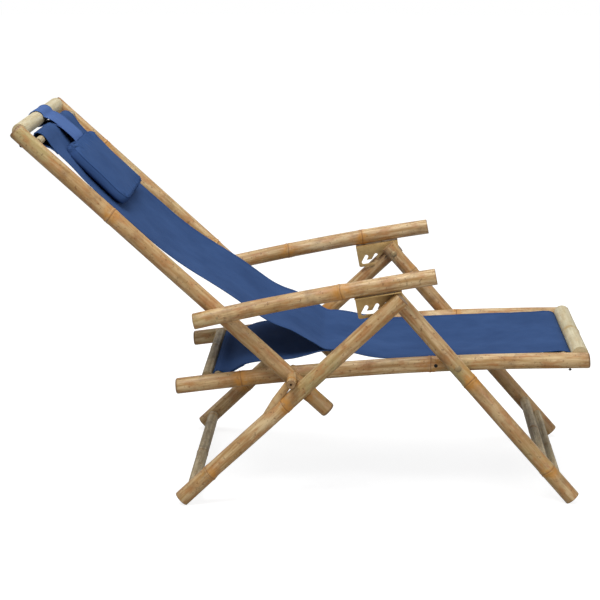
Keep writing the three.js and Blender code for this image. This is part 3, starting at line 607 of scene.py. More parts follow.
# Shape of the wall at a node of a full-sized pole, and how far its colours reach
NODE_RING = Bell(0.9, 0.0, 2.2)
NODE_SHOULDER = Bell(0.7, 6.0, 4.5)
NODE_GROOVE = Bell(0.55, 2.6, 0.9)
NODE_SCAR = Bell(0.8, 2.6, 1.0)
NODE_GLOW = Bell(1.1, 5.0, 24.0)
NODE_BAND_PLACE = 3.0
NODE_BAND_SPREAD = 8.5
NODE_BAND_LEAST = 1.5
NODE_WAVE = 1.1
BRANCH_GROOVE_DEPTH = 1.3
BRANCH_GROOVE_LENGTH = 70.0
BRANCH_GROOVE_START = 8.0
BRANCH_GROOVE_NARROWNESS = 6
WALL_UNEVENNESS = 0.25
FLUTE_DEPTH = 0.7
FLUTE_GROOVE_DARKENING = 0.35
FLUTE_WAVE = 2.2

# Steps of noise: of the wall round it, for a metre along it and for its seed; of the line for its seed
# and for a metre
WALL_NOISE = (1.4, 9.0, 11.0)
LINE_NOISE = (7.3, 4.0)

# Which way the marks of a node face, in radians: the glow's swing and its step for a seed, the wave's
# step for the node's share, and the branch groove's steps for seed and share
GLOW_TURN = (0.8, 1.9)
NODE_WAVE_TURN = 20.0
BRANCH_TURN = (1.7, 9.0)

# How dark a cane is between its nodes and how far that varies; the sum is kept between 0 and 1; the
# steps of noise are for its seed and for a stretch or a metre, and the last number is the row. A raised
# darkness on the rear cross rail is painted shade, and a negative one on the front stretchers is painted
# light
PLAIN_DARKNESS = 0.45
STRETCH_TONE = 0.9
DRIFT_TONE = 0.5
STRETCH_NOISE = (3.1, 5.7, 2.0)
DRIFT_NOISE = (1.3, 6.0, 8.0)

# In metres: spacing of the rings of points, how far the line wanders and how deep an open end goes;
# the rows are the two rows of noise that it wanders by
RING_SPACING = 0.014
NODE_RING_SPACING = 0.0012
NODE_RING_STEPS = range(-7, 15)
LEAST_RING_GAP = 0.0007
LINE_DRIFT = 0.0005
LINE_DRIFT_FADE = 4
DRIFT_ROWS = (0.5, 9.5)
BORE_DEPTH = 0.022

# Rings of a rounded end as shares of the rounding: set back, drawn in, and their cut and rim colours
OUTER_ROUND = (0.12, 0.6, 0.8, 0.8)
INNER_ROUND = (0.45, 0.2, 0.3, 1.0)
ROUND_REACH = 1.4

# Rings of a cut end: shares of the radius of its face or bore, and their cut and rim colours; inside
# the bore the rim colour is painted shade, darkening the hollow's wall and floor
FACE_EDGE = (1.0, 1.0, 0.5)
FACE_INSIDE = (0.93, 1.0, 0.0)
FACE_MIDDLE = (0.4, 1.0, 0.0)
BORE_EDGE = (1.0, 1.0, 0.6)
BORE_FLOOR = (0.94, 0.85, 0.9)
BORE_MIDDLE = (0.3, 0.85, 0.9)

# Edges sharper than these, in degrees, stay sharp
CANE_SMOOTH_ANGLE = 40.0
CLOTH_SMOOTH_ANGLE = 70.0
PILLOW_SMOOTH_ANGLE = 120.0


@dataclass(frozen=True)
class Cane:
    """One bamboo pole or rod: a line in the chair, nodes along it and the shape of its ends."""

    node: str
    body: Body
    start: Vector
    end: Vector
    radius: float = POLE_RADIUS
    bow: float = 0.0
    nodes: tuple[float, ...] = ()
    bores: tuple[float, float] = (7.0, 7.0)
    slot: Slot = Slot.BAMBOO
    flutes: int = 0
    seed: int = 1
    rounding: float = 1.2
    segments: int = 40
    darkness: float = PLAIN_DARKNESS

    def frame_at(self, along: float, length: float) -> tuple[Vector, Vector, Vector]:
        """Finds the middle of the cane and its two cross directions.

        Args:
            along: Distance along the cane, in metres.
            length: Whole length, in metres.

        Returns:
            The middle and the two directions.
        """
        ahead = (self.end - self.start).normalized()
        lies_across = abs(ahead.y) > 0.9
        out = Vector((1, 0, 0)) if lies_across else Vector((-ahead.z, 0, ahead.x))
        depth = Vector((0, 0, 1)) if lies_across else Vector((0, 1, 0))
        share = along / length
        rise = 4 * self.bow * MM * share * (1 - share)
        centre = self.start + ahead * along + out * rise
        pick, run = LINE_NOISE
        wander = [noise.noise(Vector((self.seed * pick, along * run, row))) for row in DRIFT_ROWS]
        drift = Vector((wander[0], 0, wander[1])) * LINE_DRIFT
        fade = min(1.0, LINE_DRIFT_FADE * share, LINE_DRIFT_FADE * (1 - share))
        return centre + drift * fade, out, depth

    def swell(self, along: float, angle: float, length: float) -> tuple[float, float, float]:
        """Works out the wall at one place.

        Args:
            along: Distance along the cane, in metres.
            angle: Angle round the cane, in radians.
            length: Whole length, in metres.

        Returns:
            Added radius in millimetres, and the shares of the node colour and the scar colour; the scar
            colour also darkens the flute grooves.
        """
        scale = self.radius / POLE_RADIUS
        turn, run, pick = WALL_NOISE
        place = (math.cos(angle) * turn, math.sin(angle) * turn, along * run + self.seed * pick)
        added = WALL_UNEVENNESS * noise.noise(Vector(place))
        tint = scar = 0.0
        band = Bell(1.0, NODE_BAND_PLACE, NODE_BAND_SPREAD * scale + NODE_BAND_LEAST, power=4)
        turned = GLOW_TURN[0] * math.sin(self.seed * GLOW_TURN[1])
        facing = max(0.0, math.cos(angle + math.pi / 2 + turned))
        for share in self.nodes:
            gap = (along - share * length) / MM
            gap += NODE_WAVE * math.sin(angle * 2 + self.seed + share * NODE_WAVE_TURN) * scale
            added += scale * (NODE_RING.at(gap) + NODE_SHOULDER.at(gap) - NODE_GROOVE.at(gap))
            tint += band.at(gap) + NODE_GLOW.at(gap) * facing
            scar += NODE_SCAR.at(gap)
            if gap > 0:
                turned = angle - self.seed * BRANCH_TURN[0] - share * BRANCH_TURN[1]
                width = max(0.0, math.cos(turned)) ** BRANCH_GROOVE_NARROWNESS
                fade = math.exp(-gap / BRANCH_GROOVE_LENGTH) * min(1.0, gap / BRANCH_GROOVE_START)
                added -= scale * BRANCH_GROOVE_DEPTH * width * fade
        if self.flutes:
            groove = 0.5 + 0.5 * math.cos(self.flutes * angle + FLUTE_WAVE * math.sin(angle * 2))
            added -= FLUTE_DEPTH * groove**3
            # The flute grooves are drawn darker with the scar colour, most where each groove is deepest
            scar += FLUTE_GROOVE_DARKENING * groove**4
        return added, min(1.0, tint), min(1.0, scar)

    def tone(self, along: float, length: float) -> float:
        """Works out the tone of the stretch between two nodes.

        Args:
            along: Distance along the cane, in metres.
            length: Whole length, in metres.

        Returns:
            How dark it is, from 0 to 1.
        """
        index = sum(1 for share in self.nodes if along > share * length)
        pick, run, row = STRETCH_NOISE
        value = noise.noise(Vector((self.seed * pick, index * run, row)))
        pick, run, row = DRIFT_NOISE
        drift = noise.noise(Vector((self.seed * pick, along * run, row)))
        return max(0.0, min(1.0, self.darkness + STRETCH_TONE * value + DRIFT_TONE * drift))

    def stations(self, length: float) -> list[float]:
        """Finds where the cane has a ring of points.

        Args:
            length: Whole length, in metres.

        Returns:
            Distances along the cane, in metres.
        """
        count = max(2, int(length / RING_SPACING))
        marks = {length * step / count for step in range(count + 1)}
        for share in self.nodes:
            marks.update(share * length + step * NODE_RING_SPACING for step in NODE_RING_STEPS)
        low = self.rounding * ROUND_REACH * MM
        high = length - low
        kept = [low]
        for mark in sorted(mark for mark in marks if low < mark < high):
            if mark - kept[-1] > LEAST_RING_GAP:
                kept.append(mark)
        return kept + [high]

    def build(self, palette: Palette) -> bpy.types.Object:
        """Makes the cane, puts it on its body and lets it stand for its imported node.

        Args:
            palette: Materials of the chair.

        Returns:
            The object.
        """
        values = {"node": [], "scar": [], "tone": [], "cut": [], "rim": []}
        surface = Surface(self.node + "_cane", values=values)
        length = (self.end - self.start).length
        rings: list[tuple[list[int], float]] = []

        def ring(along: float, radius: float, cut: float, wall: bool, rim: float = 0.0) -> None:
            """Adds one ring of points.

            Args:
                along: Distance along the cane, in metres.
                radius: Radius before the wall's swelling, in millimetres.
                cut: Share of the cut colour.
                wall: Whether the ring follows the wall's swelling.
                rim: Share of the rim colour.
            """
            centre, out, depth = self.frame_at(along, length)
            tone = self.tone(along, length)
            members = []
            for step in range(self.segments):
                angle = 2 * math.pi * step / self.segments
                added, tint, scar = self.swell(along, angle, length) if wall else (0.0, 0.0, 0.0)
                reach = (radius + added) * MM
                place = centre + out * (math.cos(angle) * reach) + depth * (math.sin(angle) * reach)
                members.append(surface.point(place, node=tint, scar=scar, tone=tone, cut=cut, rim=rim))
            rings.append((members, along))

        def cap(along: float, bore: float, deep: float, at_start: bool) -> None:
            """Adds the rings of one cut end and of its bore.

            Args:
                along: Place of the end, in metres.
                bore: Radius of the bore in millimetres, or zero.
                deep: Place of the floor of the bore, in metres.
                at_start: Whether it is the first end.
            """
            face = self.radius - self.rounding
            steps = [(along, face, FACE_EDGE)]
            if bore > 0:
                steps += [(along, face, FACE_INSIDE), (along, bore, BORE_EDGE)]
                steps += [(deep, bore, BORE_FLOOR), (deep, bore, BORE_MIDDLE)]
            else:
                steps.append((along, face, FACE_MIDDLE))
            for place, radius, (share, cut, rim) in reversed(steps) if at_start else steps:
                ring(place, radius * share, cut, False, rim)

        def rounded(back: float, drawn: float, cut: float, rim: float, at_start: bool) -> None:
            """Adds one ring of a rounded end.

            Args:
                back: Distance from the end, as a share of the rounding.
                drawn: How far it is drawn in, as a share of the rounding.
                cut: Share of the cut colour.
                rim: Share of the rim colour.
                at_start: Whether it is the first end.
            """
            inset = self.rounding * back * MM
            along = inset if at_start else length - inset
            ring(along, self.radius - self.rounding * drawn, cut, True, rim)

        cap(0.0, self.bores[0], BORE_DEPTH, True)
        rounded(*OUTER_ROUND, True)
        rounded(*INNER_ROUND, True)
        for along in self.stations(length):
            ring(along, self.radius, 0.0, True)
        rounded(*INNER_ROUND, False)
        rounded(*OUTER_ROUND, False)
        cap(length, self.bores[1], length - BORE_DEPTH, False)
        self.skin(surface, rings)
        obj = palette.dress(surface.build(CANE_SMOOTH_ANGLE), self.slot)
        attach(obj, self.body.value)
        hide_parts(self.node)
        return obj

    def skin(self, surface: Surface, rings: list[tuple[list[int], float]]) -> None:
        """Joins the rings with faces and closes both ends.

        Args:
            surface: Mesh under way.
            rings: Numbers of each ring's points, and its distance along the cane.
        """
        count = self.segments
        for (one, low), (other, high) in zip(rings, rings[1:]):
            for step in range(count):
                after = (step + 1) % count
                left, right = step / count, (step + 1) / count
                surface.face(
                    (one[step], one[after], other[after], other[step]),
                    ((left, low), (right, low), (right, high), (left, high)),
                )
        for members, along in (rings[0], rings[-1]):
            surface.face(tuple(members), tuple((0.5, along) for _ in members))


# Hems and edges of cloth, in millimetres
HEM_LIFT = 0.35
EDGE_WIDTH = 0.6
EDGE_LIFT = 0.25
STITCH_INSET = 1.2
STITCH_HALF = 0.6
HEM_FOLD_INSET = 2.5
LEAST_COLUMN_GAP = 0.5
CROSS_STITCH_REACH = 0.0012  # in metres


def line_lengths(line: Sequence[Vector]) -> list[float]:
    """Measures a line at each of its points.

    Args:
        line: Points of the line.

    Returns:
        Distance along the line of each point, in metres.
    """
    found = [0.0]
    for one, other in zip(line, line[1:]):
        found.append(found[-1] + (other - one).length)
    return found


@dataclass(frozen=True)
class Strip:
    """Cloth laid along a line of the side plane and given a width across the chair."""

    name: str
    line: tuple[Vector, ...]
    width: float
    centre_y: float = 0.0
    thickness: float = 1.5
    columns: int = 56
    hem: float = 11.0
    sag: Callable[[float, float], float] = lambda along, length: 0.0
    crumple: Callable[[float, float, float], float] = lambda along, across, length: 0.0
    stitches: tuple[float, ...] = ()

    def marks(self) -> list[float]:
        """Finds where the cloth has a line of points, closer together at the hems.

        Returns:
            Places across the cloth, in millimetres from its middle.
        """
        half = self.width / 2
        marks = [-half + self.width * step / self.columns for step in range(self.columns + 1)]
        beside_hem = (self.hem - HEM_FOLD_INSET, self.hem - STITCH_INSET, self.hem, self.hem + 1.0)
        for inset in (0.0, 1.0, *beside_hem):
            marks += [-half + inset, half - inset]
        kept: list[float] = []
        for mark in sorted(marks):
            if not kept or mark - kept[-1] > LEAST_COLUMN_GAP:
                kept.append(mark)
        return kept

    def lift(self, face: float, along: float, across: float, length: float) -> float:
        """Works out the height of one face of the cloth over its line.

        Args:
            face: 1 for the upper and -1 for the lower face.
            along: Distance along the line, in metres.
            across: Distance from the middle, in millimetres.
            length: Length of the line, in metres.

        Returns:
            The height, in millimetres.
        """
        half = self.width / 2
        share = across / half
        edge = half - abs(across)
        height = face * self.thickness / 2
        if edge < self.hem:
            height += face * HEM_LIFT
        if edge < EDGE_WIDTH:
            height = face * EDGE_LIFT
        height -= self.sag(along, length) * (1 - share * share)
        return height + self.crumple(along, across, length)

    def stitched(self, along: float, across: float) -> float:
        """Tells whether a row of stitches runs at a place.

        Args:
            along: Distance along the line, in metres.
            across: Distance from the middle, in millimetres.

        Returns:
            One on a row of stitches, and zero elsewhere.
        """
        edge = self.width / 2 - abs(across)
        beside_hem = abs(edge - self.hem + STITCH_INSET) < STITCH_HALF
        on_row = any(abs(along - mark) < CROSS_STITCH_REACH for mark in self.stitches)
        return 1.0 if beside_hem or on_row else 0.0

    def row(
        self, surface: Surface, index: int, face: float, lengths: Sequence[float], marks: Sequence[float]
    ) -> list[int]:
        """Adds the points across one place of the line.

        Args:
            surface: Mesh under way.
            index: Number of the place in the line.
            face: 1 for the upper and -1 for the lower face.
            lengths: Distances along the line.
            marks: Places across the cloth.

        Returns:
            Numbers of the points.
        """
        before = self.line[max(index - 1, 0)]
        after = self.line[min(index + 1, len(self.line) - 1)]
        ahead = (after - before).normalized()
        out = Vector((-ahead.y, ahead.x))
        along = lengths[index]
        members = []
        for across in marks:
            spot = self.line[index] + out * self.lift(face, along, across, lengths[-1]) * MM
            point = Vector((spot.x, (self.centre_y + across) * MM, spot.y))
            members.append(surface.point(point, stitch=self.stitched(along, across)))
        return members

    def build(self) -> tuple[bpy.types.Object, float]:
        """Makes the cloth.

        Returns:
            The object and the length of cloth in it, in metres.
        """
        surface = Surface(self.name, values={"stitch": []})
        lengths = line_lengths(self.line)
        marks = self.marks()
        places = range(len(self.line))
        top = [self.row(surface, index, 1.0, lengths, marks) for index in places]
        bottom = [self.row(surface, index, -1.0, lengths, marks) for index in places]

        def texture(row: int, column: int) -> tuple[float, float]:
            """Texture place of a point of the grid."""
            return (marks[column] * MM, lengths[row])

        def edge(one: tuple[int, int], other: tuple[int, int]) -> None:
            """Adds a face that joins the two sides of the cloth.

            Args:
                one: Row and column of the first point.
                other: Row and column of the second point.
            """
            corners = ((top, one), (bottom, one), (bottom, other), (top, other))
            uvs = tuple(texture(*place) for _, place in corners)
            surface.face(tuple(layer[r][c] for layer, (r, c) in corners), uvs)

        last_row, last_column = len(self.line) - 1, len(marks) - 1
        for row in range(last_row):
            for column in range(last_column):
                square = ((row, column), (row + 1, column), (row + 1, column + 1), (row, column + 1))
                uvs = tuple(texture(*place) for place in square)
                surface.face(tuple(top[r][c] for r, c in square), uvs)
                surface.face(tuple(bottom[r][c] for r, c in reversed(square)), tuple(reversed(uvs)))
            for column in (0, last_column):
                edge((row, column), (row + 1, column))
        for row in (0, last_row):
            for column in range(last_column):
                edge((row, column), (row, column + 1))
        return surface.build(CLOTH_SMOOTH_ANGLE), lengths[-1]


def arc(centre: Vector, radius: float, start: float, end: float, step: float = 20.0) -> list[Vector]:
    """Lays points along a circle between two angles, both ends included.

    Args:
        centre: Middle of the circle, in metres.
        radius: Radius in millimetres.
        start: First angle, in degrees.
        end: Last angle, in degrees.
        step: Largest angle between two points, in degrees.

    Returns:
        The points, in metres.
    """
    count = max(2, int(abs(end - start) / step) + 1)
    angles = [math.radians(start + (end - start) * index / count) for index in range(count + 1)]
    return [centre + Vector((math.cos(a), math.sin(a))) * radius * MM for a in angles]


def curve(points: Sequence[Vector], spacing: float = 0.009) -> list[Vector]:
    """Lays a smooth line through the points.

    Args:
        points: Points that the line passes, in metres.
        spacing: About the distance between two places of the line, in metres.

    Returns:
        Places of the line, in metres.
    """
    padded = [points[0] * 2 - points[1], *points, points[-1] * 2 - points[-2]]
    found = []
    for index in range(len(points) - 1):
        a, b, c, d = padded[index : index + 4]
        count = max(1, round((c - b).length / spacing))
        for step in range(count):
            t = step / count
            bend = (2 * a - 5 * b + 4 * c - d) * t * t + (3 * b - a - 3 * c + d) * t**3
            found.append(0.5 * (2 * b + (c - a) * t + bend))
    found.append(points[-1].copy())
    return found


# Poles and rods


Spot = tuple[float, float]

# Ends of the poles in the side plane
SEAT_REAR, SEAT_FRONT = (310.5, 235.0), (1169.0, 298.0)
ARM_REAR, ARM_FRONT = (355.0, 390.0), (847.0, 487.0)
FRONT_FOOT, FRONT_TOP = (1139.0, 10.0), (755.1, 447.8)
REAR_FOOT, REAR_TOP = (325.0, 11.1), (779.1, 441.6)

# Places of the bars: along the back rail and out from it, or in the side plane
TOP_RAIL, TOP_ROD = (8.5, 1.0), (50.0, 8.5)
FRONT_RAIL, FRONT_ROD = (1151.3, 305.2), (1117.0, 302.0)
REAR_RAIL, REAR_ROD = (374.0, 252.0), (396.6, 254.2)
THICK_STRETCHER, THIN_STRETCHER = (1076.0, 87.0), (1105.2, 57.6)
REAR_STRETCHER = (348.6, 33.4)
AXLE = (555.2, 270.0)

# How far the bars reach from the middle, with their tenons in the poles
BACK_RAIL_REACH = BACK_LAYER - 15.0
BACK_ROD_REACH = BACK_LAYER - 14.0
SEAT_RAIL_REACH = SEAT_LAYER - 16.0
SEAT_ROD_REACH = SEAT_LAYER - 15.0
REAR_LEG_REACH = ARM_LAYER - 15.0

ROD_RADIUS = 8.3
SLEEVE_ROD_RADIUS = 7.8
PEG_RADIUS = 9.6
PEG_INNER = SEAT_LAYER - POLE_RADIUS
PEG_OUTER = 325.0

# Radii of the hollows at the two ends of a cane
SOLID = (0.0, 0.0)
OPEN_AT_START = (7.0, 0.0)
PEG_HOLLOW = (0.0, 2.4)


def pole_line(start: Spot, end: Spot, y: float) -> tuple[Vector, Vector]:
    """Two ends of a pole that lies at one depth."""
    one, other = side(*start), side(*end)
    return Vector((one.x, y * MM, one.y)), Vector((other.x, y * MM, other.y))


def across_line(place: Vector, first: float, last: float) -> tuple[Vector, Vector]:
    """Two ends of a bar that runs across the chair at one place of the side plane."""
    return Vector((place.x, first * MM, place.y)), Vector((place.x, last * MM, place.y))


@dataclass
class PoleFrame:
    """Every pole and rod of the chair."""

    palette: Palette

    def pole(self, name: str, body: Body, ends: tuple[Spot, Spot], y: float, **shape: object) -> None:
        """Adds a pole in a side plane.

        Args:
            name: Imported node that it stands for.
            body: Body it rides on.
            ends: Its two ends in the side plane.
            y: Depth of the side plane.
            shape: Further fields of the cane.
        """
        one, other = pole_line(*ends, y)
        Cane(name, body, one, other, **shape).build(self.palette)

    def bar(self, name: str, body: Body, place: Vector, reach: float, **shape: object) -> None:
        """Adds a closed bar across the chair, as far to the right as to the left."""
        one, other = across_line(place, -reach, reach)
        Cane(name, body, one, other, bores=SOLID, **shape).build(self.palette)

    def back_rails(self) -> None:
        """Makes the two rails of the back."""
        shape = {"bores": SOLID, "rounding": 4.5}
        ends = (BACK_TOP, BACK_LOW)
        rails = (
            ("right", -BACK_LAYER, (0.297, 0.93), 3, 1.2),
            ("left", BACK_LAYER, (0.17, 0.566, 0.9), 8, PLAIN_DARKNESS),
        )
        for name, y, nodes, seed, darkness in rails:
            node = f"back_rail_{name}"
            self.pole(node, Body.BACK, ends, y, nodes=nodes, seed=seed, darkness=darkness, **shape)

    def seat_rails(self) -> None:
        """Makes the two rails of the seat."""
        shape = {"bow": 14.0, "bores": OPEN_AT_START, "rounding": 3.6}
        rails = (("right", -SEAT_LAYER, (0.157, 0.616), 12), ("left", SEAT_LAYER, (0.24, 0.7), 17))
        ends = (SEAT_REAR, SEAT_FRONT)
        for name, y, nodes, seed in rails:
            self.pole(f"seat_rail_{name}", Body.SEAT, ends, y, nodes=nodes, seed=seed, **shape)

    def armrests(self) -> None:
        """Makes the two armrests."""
        arms = (
            ("right", Body.ARM_RIGHT, -ARM_LAYER, (0.606,), 23, 0.05),
            ("left", Body.ARM_LEFT, ARM_LAYER, (0.346, 0.69), 31, 0.2),
        )
        shape = {"bow": 5.0, "bores": OPEN_AT_START}
        ends = (ARM_REAR, ARM_FRONT)
        for name, body, y, nodes, seed, darkness in arms:
            self.pole(f"armrest_{name}", body, ends, y, nodes=nodes, seed=seed, darkness=darkness, **shape)

    def legs(self) -> None:
        """Makes the front and the rear legs."""
        shape = {"bores": OPEN_AT_START}
        front, rear = (FRONT_FOOT, FRONT_TOP), (REAR_FOOT, REAR_TOP)
        legs = (
            ("front_leg_right", Body.FRONT_LEGS, front, -BACK_LAYER, (0.135, 0.567), 41, 0.4),
            ("front_leg_left", Body.FRONT_LEGS, front, BACK_LAYER, (0.4, 0.86), 47, 0.9),
            ("rear_leg_right", Body.REAR_LEGS, rear, -ARM_LAYER, (0.13, 0.47), 53, PLAIN_DARKNESS),
            ("rear_leg_left", Body.REAR_LEGS, rear, ARM_LAYER, (0.22, 0.62), 59, PLAIN_DARKNESS),
        )
        for name, body, ends, y, nodes, seed, darkness in legs:
            self.pole(name, body, ends, y, nodes=nodes, seed=seed, darkness=darkness, **shape)

    def rails_across(self) -> None:
        """Makes the cross rails and the rods that carry the cloth."""
        pale = {"slot": Slot.PALE, "radius": 15.6, "seed": 61}
        rod = {"slot": Slot.GREY, "radius": ROD_RADIUS, "seed": 63}
        front = {"slot": Slot.PALE, "radius": 17.6, "nodes": (0.47,), "seed": 67}
        front_rod = {"slot": Slot.GREY, "radius": SLEEVE_ROD_RADIUS, "seed": 69}
        rear = {"slot": Slot.GREY, "radius": 11.3, "nodes": (0.6,), "flutes": 9, "seed": 71}
        # Darker as painted shade: the rear cross rail sits in the shadow under the seat
        rear["darkness"] = 0.8
        rear_rod = {"slot": Slot.GREY, "radius": SLEEVE_ROD_RADIUS, "seed": 73}
        bars = (
            ("top_cross_rail", Body.BACK, back_point(*TOP_RAIL), BACK_RAIL_REACH, pale),
            ("top_sling_rod", Body.BACK, back_point(*TOP_ROD), BACK_ROD_REACH, rod),
            ("front_cross_rail", Body.SEAT, side(*FRONT_RAIL), SEAT_RAIL_REACH, front),
            ("front_sling_rod", Body.SEAT, side(*FRONT_ROD), SEAT_ROD_REACH, front_rod),
            ("rear_cross_rail", Body.SEAT, side(*REAR_RAIL), SEAT_ROD_REACH, rear),
            ("rear_sling_rod", Body.SEAT, side(*REAR_ROD), SEAT_ROD_REACH, rear_rod),
        )
        for name, body, place, reach, shape in bars:
            self.bar(name, body, place, reach, **shape)

    def stretchers(self) -> None:
        """Makes the grooved canes between the legs."""
        # A darkness of -0.9 paints the front stretchers lighter, as painted light against the shade under
        # the seat
        thick = {"radius": 11.0, "nodes": (0.47, 0.96), "flutes": 9, "seed": 83, "darkness": -0.9}
        thin = {"radius": ROD_RADIUS, "nodes": (0.42,), "flutes": 7, "seed": 89, "darkness": -0.9}
        rear = {"radius": 12.2, "nodes": (0.43, 0.955), "flutes": 9, "seed": 97}
        canes = (
            ("front_stretcher_thick", Body.FRONT_LEGS, THICK_STRETCHER, BACK_RAIL_REACH, thick),
            ("front_stretcher_thin", Body.FRONT_LEGS, THIN_STRETCHER, BACK_RAIL_REACH, thin),
            ("rear_stretcher", Body.REAR_LEGS, REAR_STRETCHER, REAR_LEG_REACH, rear),
        )
        for name, body, place, reach, shape in canes:
            self.bar(name, body, side(*place), reach, slot=Slot.GREY, **shape)

    def pegs(self) -> None:
        """Makes the two short pegs through the rails, which the chair's back turns on."""
        shape = {"radius": PEG_RADIUS, "nodes": (0.78,), "bores": PEG_HOLLOW, "rounding": 1.6}
        for name, sign, seed in (("right", -1.0, 79), ("left", 1.0, 80)):
            inner, outer = across_line(side(*AXLE), sign * PEG_INNER, sign * PEG_OUTER)
            Cane(f"axle_peg_{name}", Body.SEAT, inner, outer, seed=seed, **shape).build(self.palette)

    def build(self) -> None:
        """Makes both sides and what joins them."""
        self.back_rails()
        self.seat_rails()
        self.armrests()
        self.legs()
        self.rails_across()
        self.pegs()
        self.stretchers()


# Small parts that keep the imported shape, with their edges eased

STRUT_SCREW_SHIFT = Vector((0.0034, 0.0, -0.0022))
SEAT_SCREW_SHIFT = Vector((0.0, 0.0, -0.0028))
WELD_GAP = 0.00001  # in metres
FLAT_ANGLE = math.radians(1.0)
SMOOTH_ANGLE = math.radians(40.0)


@dataclass(frozen=True)
class Easing:
    """How the edges of a small part are eased: width in millimetres and least angle in degrees."""

    width: float
    angle: float = 35.0
    shift: Vector = field(default_factory=Vector)
    tone: float = 0.0


@dataclass
class Fittings:
    """Brackets, struts, bolts and screws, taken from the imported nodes."""

    palette: Palette

    def eased_mesh(self, node: str, easing: Easing) -> bpy.types.Mesh:
        """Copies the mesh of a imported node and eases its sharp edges.

        Args:
            node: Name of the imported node.
            easing: How its edges are eased.

        Returns:
            The new mesh.
        """
        work = bmesh.new()
        work.from_mesh(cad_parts[node].data)
        bmesh.ops.translate(work, verts=work.verts, vec=easing.shift)
        bmesh.ops.remove_doubles(work, verts=work.verts, dist=WELD_GAP)
        bmesh.ops.dissolve_limit(work, angle_limit=FLAT_ANGLE, verts=work.verts, edges=work.edges)
        limit = math.radians(easing.angle)
        sharp = [e for e in work.edges if len(e.link_faces) == 2 and e.calc_face_angle(0.0) > limit]
        width = easing.width * MM
        bmesh.ops.bevel(
            work, geom=sharp, offset=width, segments=2, profile=0.5, affect="EDGES", clamp_overlap=True
        )
        bmesh.ops.triangulate(work, faces=[f for f in work.faces if len(f.verts) > 4])
        uv = work.loops.layers.uv.verify()
        for face in work.faces:
            face.smooth = True
            for loop in face.loops:
                loop[uv].uv = (loop.vert.co.y, loop.vert.co.x + loop.vert.co.z)
        for edge in work.edges:
            edge.smooth = len(edge.link_faces) == 2 and edge.calc_face_angle(0.0) < SMOOTH_ANGLE
        mesh = bpy.data.meshes.new(node + "_eased")
        work.to_mesh(mesh)
        work.free()
        tones = [easing.tone] * len(mesh.vertices)
        mesh.attributes.new("tone", "FLOAT", "POINT").data.foreach_set("value", tones)
        return mesh

    def ease(self, node: str, body: Body, slot: Slot, easing: Easing) -> None:
        """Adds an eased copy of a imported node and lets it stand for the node.

        Args:
            node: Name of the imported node.
            body: Body it rides on.
            slot: Material slot.
            easing: How its edges are eased.
        """
        obj = bpy.data.objects.new(node + "_eased", self.eased_mesh(node, easing))
        bpy.context.scene.collection.objects.link(obj)
        self.palette.dress(obj, slot)
        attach(obj, body.value)
        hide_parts(node)

    def build(self) -> None:
        """Makes the fittings of both sides."""
        small, bolt = Easing(0.25), Easing(0.4)
        strut = Easing(0.6, 50.0, tone=1.0)
        for name, arm in (("right", Body.ARM_RIGHT), ("left", Body.ARM_LEFT)):
            pieces = (
                ("notch_bracket", arm, Slot.ZINC, Easing(0.8)),
                ("bracket_screw_rear", arm, Slot.STEEL, small),
                ("bracket_screw_front", arm, Slot.STEEL, small),
                ("cradle_strut", Body.REAR_LEGS, Slot.BAMBOO, strut),
                ("strut_screw", Body.REAR_LEGS, Slot.BLACK, Easing(0.25, shift=STRUT_SCREW_SHIFT)),
                ("apex_bolt", Body.FRONT_LEGS, Slot.STEEL, bolt),
                ("front_pivot_bolt", Body.FRONT_LEGS, Slot.STEEL, bolt),
                ("arm_pivot_bolt", Body.BACK, Slot.STEEL, bolt),
                ("back_rail_screw", Body.BACK, Slot.BLACK, small),
                ("seat_rail_screw", Body.SEAT, Slot.BLACK, Easing(0.25, shift=SEAT_SCREW_SHIFT)),
                ("seat_rail_plug", Body.SEAT, Slot.BLACK, bolt),
            )
            for piece, body, slot, easing in pieces:
                self.ease(f"{piece}_{name}", body, slot, easing)


# Cloth


# Waves of cloth: steps of noise for a metre along it and for a millimetre across it
SLOW_WAVE = (7.0, 0.011)
CREASE_WAVE = (26.0, 0.012)
CREASE_SLANT = 0.03
CREASE_SEED = 4.0
CREASE_SHARE = 0.35


def ripple(amount: float, seed: float, inset: float = 0.06) -> Callable[[float, float, float], float]:
    """Makes slow unevenness of stretched cloth, which fades at its ends.

    Args:
        amount: Its height, in millimetres.
        seed: Picks the pattern.
        inset: Length that stays flat at each end, in metres.

    Returns:
        The height, as a function of the places along and across the cloth and of its length.
    """

    def height(along: float, across: float, length: float) -> float:
        """Works out the unevenness at one place.

        Args:
            along: Distance along the line, in metres.
            across: Distance from the middle, in millimetres.
            length: Length of the line, in metres.

        Returns:
            The height, in millimetres.
        """
        fade = min(1.0, max(0.0, (along - inset) / inset), max(0.0, (length - inset - along) / inset))
        slow = noise.noise(Vector((along * SLOW_WAVE[0], across * SLOW_WAVE[1], seed)))
        run = along * CREASE_WAVE[0] + across * CREASE_SLANT
        creases = noise.noise(Vector((run, across * CREASE_WAVE[1], seed + CREASE_SEED)))
        return fade * amount * (slow + CREASE_SHARE * creases)

    return height


# The sling and its line, in millimetres; lengths along it in metres
CLOTH_WIDTH = 374.0
CREASE = (620.0, 310.0)
SAG_START = 0.12
PRESS_PLACE, PRESS_SPREAD, PRESS_DEPTH = 0.21, 0.07, 6.0
BACK_SAG, BACK_BELLY = 8.0, 5.0
SEAT_SAG, SEAT_BELLY = 8.0, 9.0
FRONT_HEM_LENGTH = 0.1
END_STITCH, HEM_STITCH = 0.004, 0.058
BEND_START, BEND_END = (660.0, 47.0), (622.0, 310.0)

# The panel under the crease
REAR_ROD_MIDDLE = (397.0, 254.0)
REAR_WRAP = (386.0, 256.5)
PANEL_SAG, PANEL_SAG_START, PANEL_SAG_POWER = 8.0, 0.1, 1.4

# Arcs of the panel on its rod: radius in millimetres, first and last angle and step in degrees
FIRST_ARC = (9.4, -98, -150, 18.0)
LAST_ARC = (9.8, -205, -250, 15.0)


